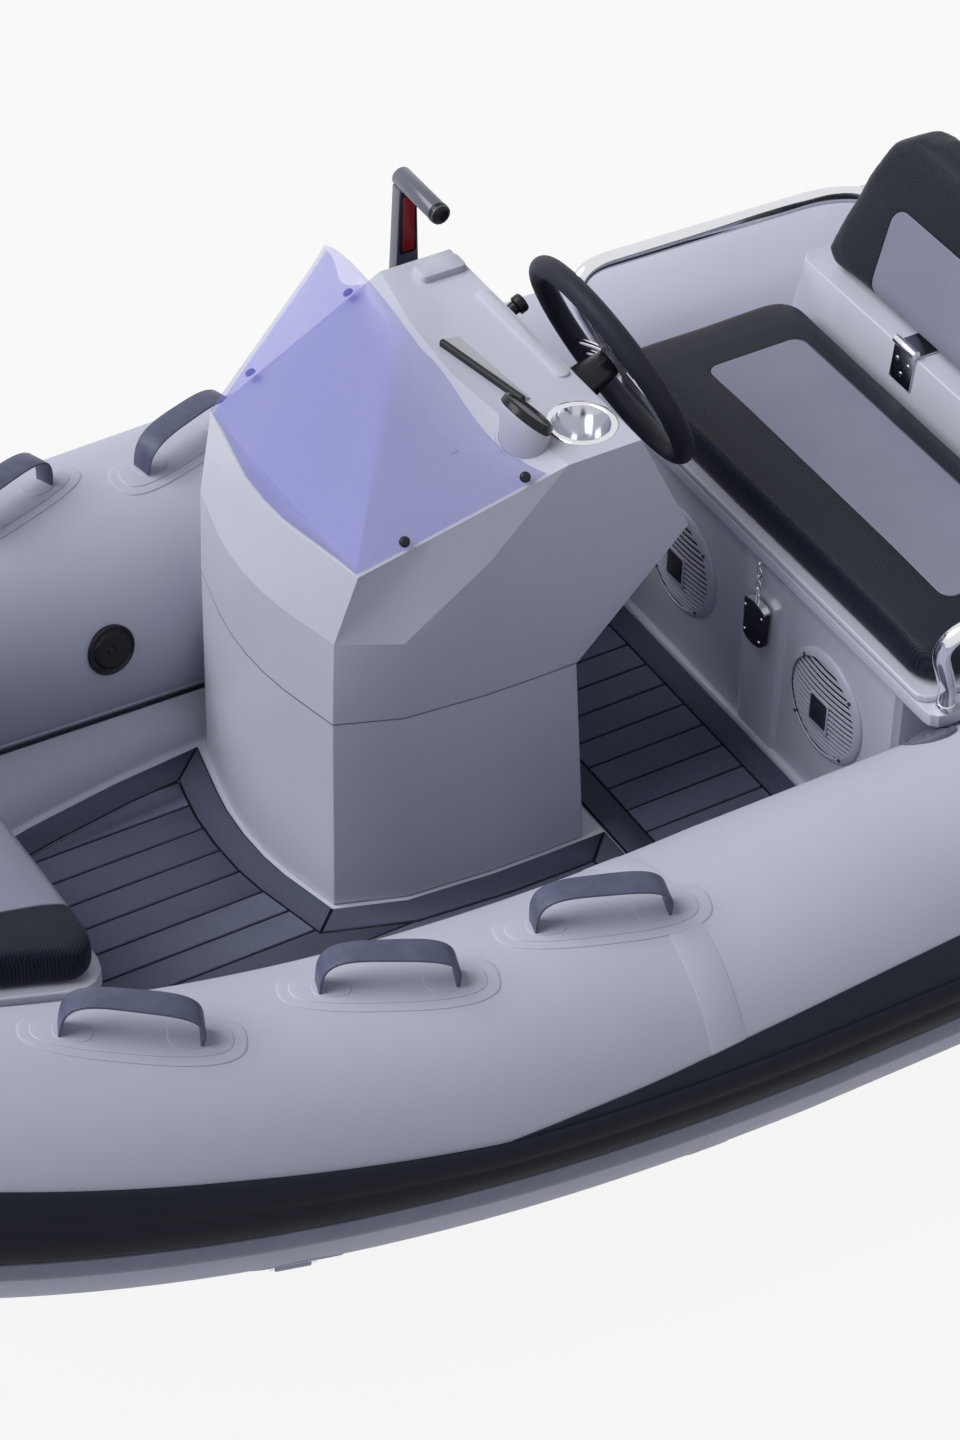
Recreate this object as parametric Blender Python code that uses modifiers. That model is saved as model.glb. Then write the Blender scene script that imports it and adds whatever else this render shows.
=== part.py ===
"""A rigid inflatable tender: moulded hull, fabric collar, offset steering console, bench and bow seat.

Metres, +X to the bow, +Y to port, +Z up. The origin is under the middle of the boat, on the keel's level.
"""
import math

import bmesh
import bpy
import numpy as np
from mathutils import Matrix, Vector

for old in list(bpy.data.objects):
    bpy.data.objects.remove(old, do_unlink=True)

# Fits shared by all pieces
GAP = 0.0003
OVERRUN = 0.02
MERGE = 0.0001
SHARE_STEP = 0.0001

# Overall size and the collar's centre line
LENGTH = 3.31
HALF_TRACK = 0.567
TUBE_RADIUS = 0.2
TUBE_WALL = 0.0014
NOSE_TAPER = 0.037
TUBE_Z = 0.43
BOW_RISE = 0.27
BOW_REACH = 1.65
CURVE_POWER = 2.2
RISE_POWER = 2.3
STERN_CONE = 0.25
STERN_CONE_RADIUS = 0.1
CONE_SHARES = (0.0, 0.2, 0.55, 1.0)
TUBE_SIDES = 20
BOW_STEPS = 14

# Rubbing strake and band, as angles up from the collar's outboard side
STRAKE_TOP_DEG = 17.4
STRAKE_BOTTOM_DEG = -1.9
BAND_BOTTOM_DEG = -13.6
STRAKE_THICK = 0.009
BAND_THICK = 0.007
BAND_EDGE_SHARE = 0.12
BAND_GAP_DEG = 0.15
BAND_SEAT = 0.0012

NOSE_X = LENGTH / 2 - (TUBE_RADIUS - NOSE_TAPER) - GAP - STRAKE_THICK
BOW_START = NOSE_X - BOW_REACH
CHAMBER_LEAD = 0.1473
CHAMBER_SPLIT_X = BOW_START + CHAMBER_LEAD
STERN_X = -LENGTH / 2

# Hull, liner and transom
DECK_Z = 0.26
HULL_WALL = 0.006
SADDLE_CLEAR = 0.0016
HULL_AFT = -1.42
KEEL_HALF = 0.07
KEEL_TIP_HALF = 0.012
KEEL_LEVEL = 0.6173
KEEL_RISE_START = BOW_START + KEEL_LEVEL
KEEL_POWER = 3.2
KEEL_CHINE_SHARE = 0.6
LIP_DEG = -151.0
CHINE_DEG = -104.0
SADDLE_STEPS = 4
LIP_SAMPLES = 61
LINER_WALL = 0.004
LINER_INSET = 0.006
LINER_BACKSET = 0.4827
LINER_FRONT = NOSE_X - LINER_BACKSET
LINER_NARROW = 0.1
LINER_RADIUS = 0.008
LINER_CLEAR = 0.006
LINER_STATIONS = 9
PAD_THICK = 0.005
FLOOR_Z = DECK_Z - PAD_THICK - GAP
TRANSOM_THICK = 0.045
TRANSOM_TOP = 0.508
TRANSOM_SIDE_GAP = 0.03
DRAIN_RADIUS = 0.018
DRAIN_HEAD = 0.012
DRAIN_Z = 0.1
DRAIN_SHARES = ((0.8, 1.0), (1.0, 0.7), (1.0, 0.0))
EYE_WIRE = 0.005
EYE_WIDTH = 0.05
EYE_REACH = 0.035
EYE_DROP = 0.14
EYE_LEG_SHARE = 0.6
EYE_STEPS = 6

# Valves, handles and D-rings on the collar
VALVE_RADIUS = 0.038
VALVE_PROUD = 0.004
VALVE_DEPTH = 0.03
VALVE_RIM = 0.002
VALVE_PLACES = (("fwd", 0.31, 169.0), ("aft", -0.53, 128.0))
HANDLE_SPAN = 0.18
HANDLE_TAB = 0.04
HANDLE_LEAD = 0.2423
HANDLE_GAPS = (0.05, 0.085)
HANDLE_3_X = BOW_START + HANDLE_LEAD
HANDLE_2_X = HANDLE_3_X + HANDLE_SPAN + HANDLE_TAB * 2 + HANDLE_GAPS[0]
HANDLE_1_X = HANDLE_2_X + HANDLE_SPAN + HANDLE_TAB * 2 + HANDLE_GAPS[1]
HANDLE_STATIONS = (HANDLE_1_X, HANDLE_2_X, HANDLE_3_X)
HANDLE_RISE = 0.054
HANDLE_WIDTH = 0.03
STRAP_THICK = 0.004
HANDLE_DEG = 90.0
HANDLE_SEAT = 0.0012
HANDLE_ARCH_SHARES = ((-1.0, 0.0), (-1.0, 0.42), (-0.86, 0.74), (-0.55, 0.93), (0.0, 1.0))
DRING_STATION = 0.48
DRING_DEG = -54.0
DRING_WIRE = 0.004
DRING_WIDTH = 0.06
DRING_DEPTH = 0.045
DRING_STEPS = 8

# Deck pads
PAD_EDGE = 0.004
PAD_JOINT_X = -0.25
PAD_JOINT = 0.004
PAD_STEPS = 7

# Console, whose middle stands to starboard
CONSOLE_CLEAR = 0.2125
CONSOLE_Y = CONSOLE_CLEAR + TUBE_RADIUS - HALF_TRACK
CONSOLE_FRONT = 0.19
CONSOLE_LENGTH = 0.411
CONSOLE_HALF = 0.2375
CONSOLE_STARBOARD_HALF = 0.202
SEAM_RISE = 0.328
SEAM_Z = DECK_Z + SEAM_RISE
KNUCKLE_RISE = 0.468
KNUCKLE_Z = DECK_Z + KNUCKLE_RISE
COWL_FRONT_TOP_RISE = 0.583
COWL_FRONT_TOP_Z = DECK_Z + COWL_FRONT_TOP_RISE
DASH_RISE = 0.69
DASH_Z = DECK_Z + DASH_RISE
COWL_BACK_RISE = 0.53
COWL_BACK_Z = DECK_Z + COWL_BACK_RISE
COWL_FRONT_TOP_X = 0.13
DASH_FRONT_X = -0.16
DASH_BACK_X = -0.272
COWL_BACK_X = -0.346
COWL_SEAM_BACK_X = -0.196
CONSOLE_WALL = 0.004
DASH_HALF = 0.25
DASH_BULGE = 0.033
DASH_BULGE_SHARES = (0.0, 0.25, 0.5, 0.75, 1.0)
COWL_TOP_HALF = 0.205
COWL_WIDE_HALF = 0.265

# The console's plan, as shares of its length aft of the front and of its half width
CONSOLE_PLAN_SHARES = ((0.0, 0.0), (0.006, 0.2), (0.024, 0.4), (0.08, 0.794), (0.314, 0.941), (0.628, 0.992),
                       (0.85, 1.0), (1.0, 1.0))
# The cowl's widest line, as shares of its length, of its half width and of the rise up to the dash
KNUCKLE_SHARES = ((0.206, 0.905, 0.03), (0.438, 0.94, 0.47), (0.68, 0.98, 0.92))
# The cowl's top rim: shares of its rounded front and of its half width, then shares along its sides
COWL_NOSE_SHARES = ((1.2, 0.0), (1.1, 0.25), (0.75, 0.5))
COWL_SIDE_SHARES = (0.0, 0.35, 0.7, 1.0)

# Windshield
SHIELD_THICK = 0.005
SHIELD_TOP_RISE = 0.91
SHIELD_TOP_Z = DECK_Z + SHIELD_TOP_RISE
SHIELD_SHOULDER_RISE = 0.825
SHIELD_SHOULDER_Z = DECK_Z + SHIELD_SHOULDER_RISE
SHIELD_TOP_X = 0.02
SHIELD_SHOULDER_X = -0.02
SHIELD_SHOULDER_HALF = 0.14
SHIELD_END_X = -0.13
SHIELD_INSET = 0.004
SHIELD_LIFT = 0.0009
SHIELD_SIDE_STEPS = 4
SHIELD_ARCH_POWER = 1.5
SHIELD_NOSE_SHARES = ((0.3, 0.8),)
SHIELD_RISE_SHARES = (0.0, 0.25, 0.5, 0.75, 1.0)

# Helm, wheel and controls
WHEEL_X = -0.385
WHEEL_RISE = 0.619
WHEEL_Z = DECK_Z + WHEEL_RISE
WHEEL_TILT_DEG = 25.0
WHEEL_RADIUS = 0.159
RIM_WIRE = 0.0165
RIM_STEPS = 36
RIM_SIDES = 10
HUB_RADIUS = 0.045
HUB_DEPTH = 0.019
HUB_SHARES = ((0.7, 1.0), (1.0, 0.7), (1.0, 0.0))
SPOKE_WIRE = 0.006
SPOKE_SPREAD = 0.014
SPOKE_DEGREES = (0.0, 120.0, 240.0)
HELM_HALF = 0.05
HELM_THICK = 0.012
HELM_NECK_SHARE = 0.4
HELM_SHARES = ((0.55, 1.5), (0.9, 1.0), (1.0, 0.6), (1.0, 0.0))
CUP_RADIUS = 0.041
CUP_LIP = 0.008
CUP_DEPTH = 0.09
CUP_WALL = 0.002
CUP_SIDES = 16
CUP_X = -0.222
CUP_PORT = 0.1805
CUP_Y = CONSOLE_Y + CUP_PORT
GAUGE_X = -0.142
GAUGE_PORT = 0.1665
GAUGE_Y = CONSOLE_Y + GAUGE_PORT
GAUGE_RADIUS = 0.042
GAUGE_HEIGHT = 0.012
GAUGE_TILT_DEG = 43.0
GAUGE_SHARES = ((0.82, 1.0), (0.95, 0.7), (0.95, 0.0))
POD_DEPTH = 0.035
POD_SIDES = 24
THROTTLE_X = -0.238
THROTTLE_BOX = (0.11, 0.045, 0.11)
THROTTLE_PIVOT_RISE = 0.575
THROTTLE_PIVOT_Z = DECK_Z + THROTTLE_PIVOT_RISE
THROTTLE_EDGE = 0.009
LEVER_LENGTH = 0.225
LEVER_WIDTH = 0.034
LEVER_THICK = 0.02
LEVER_SHARES = ((0.6, -0.075), (0.55, 0.105), (0.4, 0.853))
GRIP_SHARE = 0.893
GRIP_LENGTH = 0.1
GRIP_RADIUS = 0.015
GRIP_SIDES = 16
INSET_WIDTH = 0.018
INSET_LENGTH = 0.09
INSET_THICK = 0.002
INSET_TOP_SHARE = 0.8
SWITCH_PLATE = 0.045
SWITCH_THICK = 0.006
SWITCH_OFFSET = 0.15
SWITCH_RISE = 0.02
SWITCH_EDGE = 0.0018
KEY_RADIUS = 0.014
KEY_LENGTH = 0.03
KEY_SHARES = ((0.8, 1.0), (1.0, 0.9), (1.0, 0.55), (0.7, 0.5), (0.7, 0.0))

# Bow seat
BOW_SEAT_AFT = 0.6
BOW_SEAT_HALF = 0.25
BOW_SEAT_FRONT = 1.1
BOW_SEAT_FRONT_HALF = 0.1
BOW_LOCKER_TOP_RISE = 0.235
BOW_LOCKER_TOP = DECK_Z + BOW_LOCKER_TOP_RISE
BOW_LID_THICK = 0.015
BOW_CUSHION_THICK = 0.065
SEAT_CORNER = 0.045
LOCKER_WALL = 0.005
LOCKER_FLANGE = 0.02
LOCKER_LIP = 0.012

# Bench
BENCH_FRONT = -0.549
BENCH_CLEAR = 0.022
BENCH_HALF = HALF_TRACK - TUBE_RADIUS - BENCH_CLEAR
BENCH_STEP = 0.095
BENCH_FLANGE_HALF = BENCH_HALF + BENCH_STEP
BENCH_FLANGE_OUT = 0.012
BENCH_FLANGE_THICK = 0.02
BENCH_TOP_RISE = 0.35
BENCH_TOP = DECK_Z + BENCH_TOP_RISE
BENCH_BACK = -1.09
BENCH_WALL = 0.005
BENCH_RIM = 0.02
BENCH_CORNER = 0.0225
LID_THICK = 0.012
LID_BACK = -0.862
CUSHION_INSET = 0.03
CUSHION_HALF = BENCH_FLANGE_HALF - CUSHION_INSET
CUSHION_THICK = 0.062
CUSHION_CROWN = 0.008
# Cushion outlines: shares of the plan, then of the thickness on the sides and of the crown on the top
CUSHION_SIDE_SHARES = ((0.965, 0.0), (0.995, 0.12), (1.0, 0.45), (0.99, 0.8), (0.955, 0.97))
CUSHION_TOP_SHARES = ((0.8, 0.5), (0.45, 1.0), (0.12, 1.0))
COAMING_FRONT = -0.872
COAMING_TOP_RISE = 0.468
COAMING_TOP = DECK_Z + COAMING_TOP_RISE
COAMING_DEPTH = 0.215
COAMING_INSET = 0.01
COAMING_HALF = BENCH_FLANGE_HALF - COAMING_INSET
COAMING_SLANT = 0.0118
BACKREST_INSET = 0.03
BACKREST_HALF = COAMING_HALF - BACKREST_INSET
BACKREST_NARROW = 0.065
BACKREST_TOP_HALF = BACKREST_HALF - BACKREST_NARROW
BACKREST_HEIGHT = 0.27
BACKREST_THICK = 0.075
BACKREST_LEAN_DEG = 14.0
BACKREST_CLEAR = 0.006
BACKREST_CORNER = 0.018
# Backrest outlines: shares of the half width, of the height, and of the thickness taken off the front and rear
BACKREST_SHARES = ((0.94, 0.0, 0.1, 0.06), (1.0, 0.08, 0.0, 0.0), (1.0, 0.3, 0.0, 0.0), (0.99, 0.6, 0.0, 0.0),
                   (0.95, 0.85, 0.02, 0.012), (0.86, 0.96, 0.12, 0.072), (0.72, 1.0, 0.3, 0.18))
HINGE_Y = 0.14
HINGE_WIDTH = 0.05
HINGE_LEAF = 0.055
HINGE_THICK = 0.003
KNUCKLE_RADIUS = 0.007
STRAP_LENGTH = 0.065
SPEAKER_Y = 0.187
SPEAKER_RISE = 0.181
SPEAKER_Z = DECK_Z + SPEAKER_RISE
SPEAKER_RADIUS = 0.089
SPEAKER_PROUD = 0.014
SPEAKER_SHARES = ((0.6, 1.0), (0.9, 0.75), (1.0, 0.3), (1.0, 0.0))
TAG_Y = 0.024
TAG_OUT = 0.014
TAG_HANG = 0.0012
CHAIN_LENGTH = 0.07
CHAIN_RADIUS = 0.004
FOB_SIZE = (0.012, 0.05, 0.075)
FOB_EDGE = 0.0036
TANK_SIDE_GAP = 0.095
TANK_SIZE = (0.24, (BENCH_HALF - TANK_SIDE_GAP) * 2, 0.2)
TANK_EDGE = 0.024

# Stern rail
RAIL_RADIUS = 0.0125
RAIL_OUT = 0.04
RAIL_HALF = COAMING_HALF + RAIL_OUT
RAIL_TOP_RISE = 0.53
RAIL_TOP = DECK_Z + RAIL_TOP_RISE
RAIL_FRONT = -0.5
RAIL_BACK = -1.055
RAIL_FOOT_BACK = 0.065
RAIL_FOOT_INSET = 0.0135
RAIL_FOOT_HALF = BENCH_FLANGE_HALF - RAIL_FOOT_INSET
RAIL_FALL = 0.015
RAIL_RISE = 0.0375
RAIL_BEND = 0.14
WIRE_STEPS = 2
WIRE_SIDES = 4 + 2 * WIRE_STEPS
POST_Y = 0.25
POST_RADIUS = 0.01
POST_FOOT_RADIUS = 0.0225
POST_FOOT = 0.008
POST_FOOT_EDGE = 0.0048



def collection(name):
    """Return a new collection that is linked into the scene."""
    group = bpy.data.collections.new(name)
    bpy.context.scene.collection.children.link(group)
    return group


BOAT = collection("rigid_inflatable_boat")
CUTTERS = collection("cutters")


def material(name, colour, roughness, metallic=0.0):
    """A Principled material with one colour."""
    made = bpy.data.materials.new(name)
    made.use_nodes = True
    shader = made.node_tree.nodes["Principled BSDF"]
    shader.inputs["Base Color"].default_value = (*colour, 1.0)
    shader.inputs["Roughness"].default_value = roughness
    shader.inputs["Metallic"].default_value = metallic
    return made


FABRIC = material("collar_fabric", (0.46, 0.47, 0.57), 0.6)
GELCOAT = material("gelcoat", (0.55, 0.56, 0.63), 0.35)
BLACK = material("black_rubber", (0.015, 0.017, 0.024), 0.5)
GREY_BAND = material("grey_rubber", (0.2, 0.21, 0.29), 0.55)
WEBBING = material("webbing", (0.1, 0.105, 0.16), 0.7)
FOAM = material("deck_foam", (0.07, 0.08, 0.11), 0.8)
VINYL = material("vinyl", (0.04, 0.045, 0.06), 0.55)
STEEL = material("stainless", (0.75, 0.76, 0.8), 0.12, 1.0)
ACRYLIC = material("acrylic", (0.4, 0.38, 0.75), 0.05)
PLASTIC = material("black_plastic", (0.02, 0.02, 0.025), 0.4)
GREY_PLASTIC = material("grey_plastic", (0.12, 0.125, 0.17), 0.45)
RED = material("red_plastic", (0.3, 0.002, 0.012), 0.4)
WHITE_PLASTIC = material("white_plastic", (0.6, 0.6, 0.66), 0.4)


def add(name, shape, surface):
    """Put a mesh or a curve in the boat's collection under the node's name."""
    shape.name = name
    made = bpy.data.objects.new(name, shape)
    shape.materials.append(surface)
    BOAT.objects.link(made)
    return made


def from_rings(rings, caps=True, closed=True):
    """A mesh that joins rings of equal count one after another, with its ends filled."""
    shape = bmesh.new()
    rows = [[shape.verts.new(point) for point in ring] for ring in rings]
    count = len(rows[0])
    for low, high in zip(rows, rows[1:]):
        for i in range(count if closed else count - 1):
            j = (i + 1) % count
            shape.faces.new((low[i], low[j], high[j], high[i]))
    if caps:
        shape.faces.new(list(reversed(rows[0])))
        shape.faces.new(rows[-1])
    return finished(shape)


def finished(shape):
    """Merge what coincides, turn the faces out and return the mesh."""
    bmesh.ops.remove_doubles(shape, verts=shape.verts, dist=MERGE)
    bmesh.ops.recalc_face_normals(shape, faces=shape.faces)
    mesh = bpy.data.meshes.new("shape")
    shape.to_mesh(mesh)
    shape.free()
    return mesh


def hollow_ring(rings):
    """A mesh whose last ring joins its first, such as a wall that has no floor."""
    return from_rings(rings + rings[:1], caps=False)


def solidify(made, thick, offset):
    """Give an open surface a wall."""
    wall = made.modifiers.new("wall", "SOLIDIFY")
    wall.thickness = thick
    wall.offset = offset
    wall.use_even_offset = True
    return made


def box(name, centre, size, surface, bevel=0.0, segments=2):
    """A box of the given size about its centre, with its edges rounded."""
    shape = bmesh.new()
    bmesh.ops.create_cube(shape, size=1.0)
    bmesh.ops.scale(shape, vec=Vector(size), verts=shape.verts)
    made = add(name, finished(shape), surface)
    made.location = centre
    if bevel:
        rounded = made.modifiers.new("edges", "BEVEL")
        rounded.width = bevel
        rounded.segments = segments
    return made


def turned(name, profile, surface, sides=24):
    """A turned solid about its own Z, from (radius, height) pairs that run down its outer side."""
    points = [(0.0, profile[0][1])] + list(profile) + [(0.0, profile[-1][1])]
    mesh = bpy.data.meshes.new(name)
    mesh.from_pydata([(radius, 0.0, height) for radius, height in points],
                     [(i, i + 1) for i in range(len(points) - 1)], [])
    made = add(name, mesh, surface)
    spin = made.modifiers.new("turn", "SCREW")
    spin.steps = sides
    spin.render_steps = sides
    spin.use_merge_vertices = True
    spin.merge_threshold = MERGE
    return made


def shares_of(profile_shares, radius, height):
    """A turned profile from shares of a radius and a height."""
    return [(radius * out, height * up) for out, up in profile_shares]


def plate(name, outline, low, high, surface):
    """A flat piece between two heights, cut to a plan outline."""
    curve = bpy.data.curves.new(name, "CURVE")
    curve.dimensions = "2D"
    curve.fill_mode = "BOTH"
    curve.extrude = (high - low) / 2
    line = curve.splines.new("POLY")
    line.points.add(len(outline) - 1)
    for spot, (x, y) in zip(line.points, outline):
        spot.co = (x, y, 0.0, 1.0)
    line.use_cyclic_u = True
    made = add(name, curve, surface)
    made.location.z = (low + high) / 2
    return made


def wire(name, points, radius, surface, cyclic=False):
    """A round bar along a list of points."""
    curve = bpy.data.curves.new(name, "CURVE")
    curve.dimensions = "3D"
    curve.bevel_depth = radius
    curve.bevel_resolution = WIRE_STEPS
    curve.use_fill_caps = True
    line = curve.splines.new("POLY")
    line.points.add(len(points) - 1)
    for spot, point in zip(line.points, points):
        spot.co = (*point, 1.0)
    line.use_cyclic_u = cyclic
    return add(name, curve, surface)


def as_mesh(made):
    """Turn a curve object into a mesh with its caps welded, under the same name."""
    bpy.context.view_layer.update()
    graph = bpy.context.evaluated_depsgraph_get()
    shape = bmesh.new()
    mesh = bpy.data.meshes.new_from_object(made.evaluated_get(graph))
    shape.from_mesh(mesh)
    name, place, surface = made.name, made.matrix_world.copy(), made.data.materials[0]
    bpy.data.objects.remove(made, do_unlink=True)
    solid = add(name, finished(shape), surface)
    solid.name = name
    solid.matrix_world = place
    return solid


def aim(made, place, axis, spin=None):
    """Put an object at a place with its Z along an axis, and its X along spin where that is given."""
    up = Vector(axis).normalized()
    if spin:
        across = (Vector(spin) - up * up.dot(Vector(spin))).normalized()
    else:
        level = Vector((0, 1, 0)) if abs(up.y) < abs(up.z) else Vector((0, 0, 1))
        across = up.cross(level).normalized()
    turn = Matrix((across, up.cross(across), up)).transposed().to_4x4()
    made.matrix_world = Matrix.Translation(Vector(place)) @ turn
    return made


def bent(points, radius, steps=4):
    """A route with its corners rounded by arcs."""
    route = [Vector(points[0])]
    for before, corner, after in zip(points, points[1:], points[2:]):
        corner = Vector(corner)
        back = Vector(before) - corner
        ahead = Vector(after) - corner
        reach = min(radius, back.length / 2, ahead.length / 2)
        start = corner + back.normalized() * reach
        end = corner + ahead.normalized() * reach
        for i in range(steps + 1):
            t = i / steps
            route.append(start * (1 - t) ** 2 + corner * 2 * t * (1 - t) + end * t * t)
    route.append(Vector(points[-1]))
    return route


def combine(target, other, operation):
    """Cut one shape out of another, or join it on."""
    other.hide_render = True
    other.display_type = "WIRE"
    for group in list(other.users_collection):
        group.objects.unlink(other)
    CUTTERS.objects.link(other)
    change = target.modifiers.new(operation.lower(), "BOOLEAN")
    change.operation = operation
    change.object = other


def rounded_rect(x0, x1, half, corner, steps=3, half_front=None):
    """A plan outline with rounded corners, from x0 aft to x1 forward."""
    front = half if half_front is None else half_front
    corners = ((x1, front, 0.0), (x0, half, 90.0), (x0, -half, 180.0), (x1, -front, 270.0))
    signs = ((-1, -1), (1, -1), (1, 1), (-1, 1))
    points = []
    for (x, y, start), (sx, sy) in zip(corners, signs):
        cx, cy = x + sx * corner, y + sy * corner
        for i in range(steps + 1):
            angle = math.radians(start + 90.0 * i / steps)
            points.append((cx + corner * math.cos(angle), cy + corner * math.sin(angle)))
    return points


def collar_centre(share):
    """The middle of the port collar at a share of the bow curve: 0 where it starts, 1 at the nose."""
    angle = max(share, 0.0) * math.pi / 2
    along = math.sin(angle) ** (2 / CURVE_POWER)
    across = max(math.cos(angle), 0.0) ** (2 / CURVE_POWER)
    x = BOW_START + BOW_REACH * (along + min(share, 0.0))
    return Vector((x, HALF_TRACK * across, TUBE_Z + BOW_RISE * along ** RISE_POWER))


def tube_frame(share):
    """Centre, outboard side, up and radius of the port collar at a share of the bow curve."""
    if share > 1 - SHARE_STEP:
        ahead = Vector((0, -1, 0))
    else:
        ahead = (collar_centre(share + SHARE_STEP) - collar_centre(share - SHARE_STEP)).normalized()
    outward = Vector((0, 0, 1)).cross(ahead).normalized()
    upward = ahead.cross(outward)
    centre = collar_centre(share)
    along = max(min((centre.x - BOW_START) / BOW_REACH, 1.0), 0.0)
    return centre, outward, upward, TUBE_RADIUS - NOSE_TAPER * along


def share_at(x):
    """The share of the bow curve where the collar's centre line passes a station."""
    along = (x - BOW_START) / BOW_REACH
    if along <= 0:
        return along
    return math.asin(min(along, 1.0) ** (CURVE_POWER / 2)) / (math.pi / 2)


def on_tube(share, degrees, lift, side=1):
    """A point on the collar, lifted off its surface. Side is 1 to port and -1 to starboard."""
    centre, outward, upward, radius = tube_frame(share)
    angle = math.radians(degrees)
    point = centre + (outward * math.cos(angle) + upward * math.sin(angle)) * (radius + lift)
    return Vector((point.x, point.y * side, point.z))


def normal_on_tube(share, degrees, side=1):
    """The direction straight out of the collar at a point."""
    away = on_tube(share, degrees, TUBE_RADIUS, side) - on_tube(share, degrees, 0.0, side)
    return away.normalized()


def run_on_tube(share, degrees, side=1):
    """The direction forward along the collar at a point, and the metres there for one unit of share."""
    step = on_tube(share + SHARE_STEP, degrees, 0.0, side) - on_tube(share, degrees, 0.0, side)
    return step.normalized(), step.length / SHARE_STEP


def bow_shares():
    """The stations of the forward chambers, from the joint between the chambers to the nose."""
    split = share_at(CHAMBER_SPLIT_X)
    return [split + (1 - split) * i / BOW_STEPS for i in range(BOW_STEPS + 1)]


SIDES = (("port", 1), ("starboard", -1))
ANGLES = np.linspace(0, 360, TUBE_SIDES, endpoint=False)


def aft_rings(side, inside):
    """Rings of an aft chamber, from its stern cone to the joint, of its outside or its inside."""
    rings = []
    for cone in CONE_SHARES:
        x = STERN_X + STERN_CONE * cone + inside * (1 - cone)
        lift = (STERN_CONE_RADIUS - TUBE_RADIUS) * (1 - math.sin(cone * math.pi / 2)) - inside
        rings.append([on_tube(share_at(x), a, lift, side) for a in ANGLES])
    for x in (BOW_START, CHAMBER_SPLIT_X - GAP):
        rings.append([on_tube(share_at(x), a, -inside, side) for a in ANGLES])
    return rings


def forward_rings(side, inside):
    """Rings of a forward chamber, from the joint to the nose, of its outside or its inside."""
    rings = []
    for i, share in enumerate(bow_shares()):
        back = inside / BOW_REACH if i == 0 else 0.0
        rings.append([on_tube(share + back, a, -inside, side) for a in ANGLES])
    for point in rings[-1]:
        point.y += side * GAP / 2
    return rings


def collar():
    """Four air chambers, each a thin-walled cup, with their valves."""
    for word, side in SIDES:
        aft = add(word + "_tube_aft", from_rings(aft_rings(side, 0.0) + aft_rings(side, TUBE_WALL)[::-1]), FABRIC)
        fwd = add(word + "_tube_fwd",
                  from_rings(forward_rings(side, 0.0) + forward_rings(side, TUBE_WALL)[::-1]), FABRIC)
        for (place, x, degrees), chamber in zip(VALVE_PLACES, (fwd, aft)):
            share = share_at(x)
            spot = on_tube(share, degrees, 0.0, side)
            out = normal_on_tube(share, degrees, side)
            bore = VALVE_RADIUS + GAP
            hole = turned(chamber.name + "_hole", ((bore, OVERRUN), (bore, -VALVE_DEPTH)), BLACK)
            aim(hole, spot, out)
            combine(chamber, hole, "DIFFERENCE")
            surface = PLASTIC if place == "fwd" else GREY_PLASTIC
            valve = turned(word + "_valve_" + place,
                           ((VALVE_RADIUS - VALVE_RIM, VALVE_PROUD), (VALVE_RADIUS, VALVE_PROUD - VALVE_RIM),
                            (VALVE_RADIUS, -VALVE_DEPTH)), surface)
            aim(valve, spot, out)
        for made in (aft, fwd):
            made.data.shade_smooth()


def band(name, top, bottom, thick, surface):
    """A strip that runs round the whole collar between two angles."""
    shares = [share_at(STERN_X + STERN_CONE), 0.0] + bow_shares()
    edge = (top - bottom) * BAND_EDGE_SHARE
    section = [(bottom, BAND_SEAT), (bottom + edge, thick), (top - edge, thick), (top, BAND_SEAT)]
    section += [(0.0, BAND_SEAT)] if bottom < 0 < top else []
    route = [(share, 1) for share in shares] + [(share, -1) for share in shares[-2::-1]]
    rings = [[on_tube(share, a, lift, side) for a, lift in section] for share, side in route]
    return add(name, from_rings(rings), surface)


def handles():
    """Six flat grab handles that stand on the collar's top."""
    half = HANDLE_SPAN / 2
    path = [(-half - HANDLE_TAB, 0.0)] + [(half * along, HANDLE_RISE * up) for along, up in HANDLE_ARCH_SHARES]
    path += [(-along, lift) for along, lift in path[-2::-1]]
    last = len(path) - 1
    for word, side in SIDES:
        for number, station in enumerate(HANDLE_STATIONS, 1):
            share = share_at(station)
            span = run_on_tube(share, HANDLE_DEG, side)[1]
            rings = []
            for i, (along, lift) in enumerate(path):
                slope = Vector((1, 0))
                if 1 < i < last - 1:
                    slope = (Vector(path[i + 1]) - Vector(path[i - 1])).normalized()
                here = share + along / span
                root = on_tube(here, HANDLE_DEG, lift + HANDLE_SEAT, side)
                run = run_on_tube(here, HANDLE_DEG, side)[0]
                out = normal_on_tube(here, HANDLE_DEG, side)
                out = (out - run * out.dot(run)).normalized()
                across = run.cross(out).normalized() * (HANDLE_WIDTH / 2)
                thick = (run * -slope.y + out * slope.x) * STRAP_THICK
                rings.append([root - across, root + across, root + across + thick, root - across + thick])
            add(word + "_handle_" + str(number), from_rings(rings), WEBBING)


def d_rings():
    """A steel D-ring under each side, hinged at its straight bar."""
    wanted = share_at(DRING_STATION)
    share = min(bow_shares(), key=lambda place: abs(place - wanted))
    half = DRING_WIDTH / 2
    for word, side in SIDES:
        place = on_tube(share, DRING_DEG, GAP + DRING_WIRE, side)
        run = run_on_tube(share, DRING_DEG, side)[0]
        out = normal_on_tube(share, DRING_DEG, side)
        down = run.cross(out) * -side
        points = [place - run * half, place + run * half]
        for i in range(1, DRING_STEPS):
            angle = math.pi * i / DRING_STEPS
            points.append(place + run * half * math.cos(angle) + down * DRING_DEPTH * math.sin(angle))
        wire(word + "_dring", points, DRING_WIRE, STEEL, cyclic=True)


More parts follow.
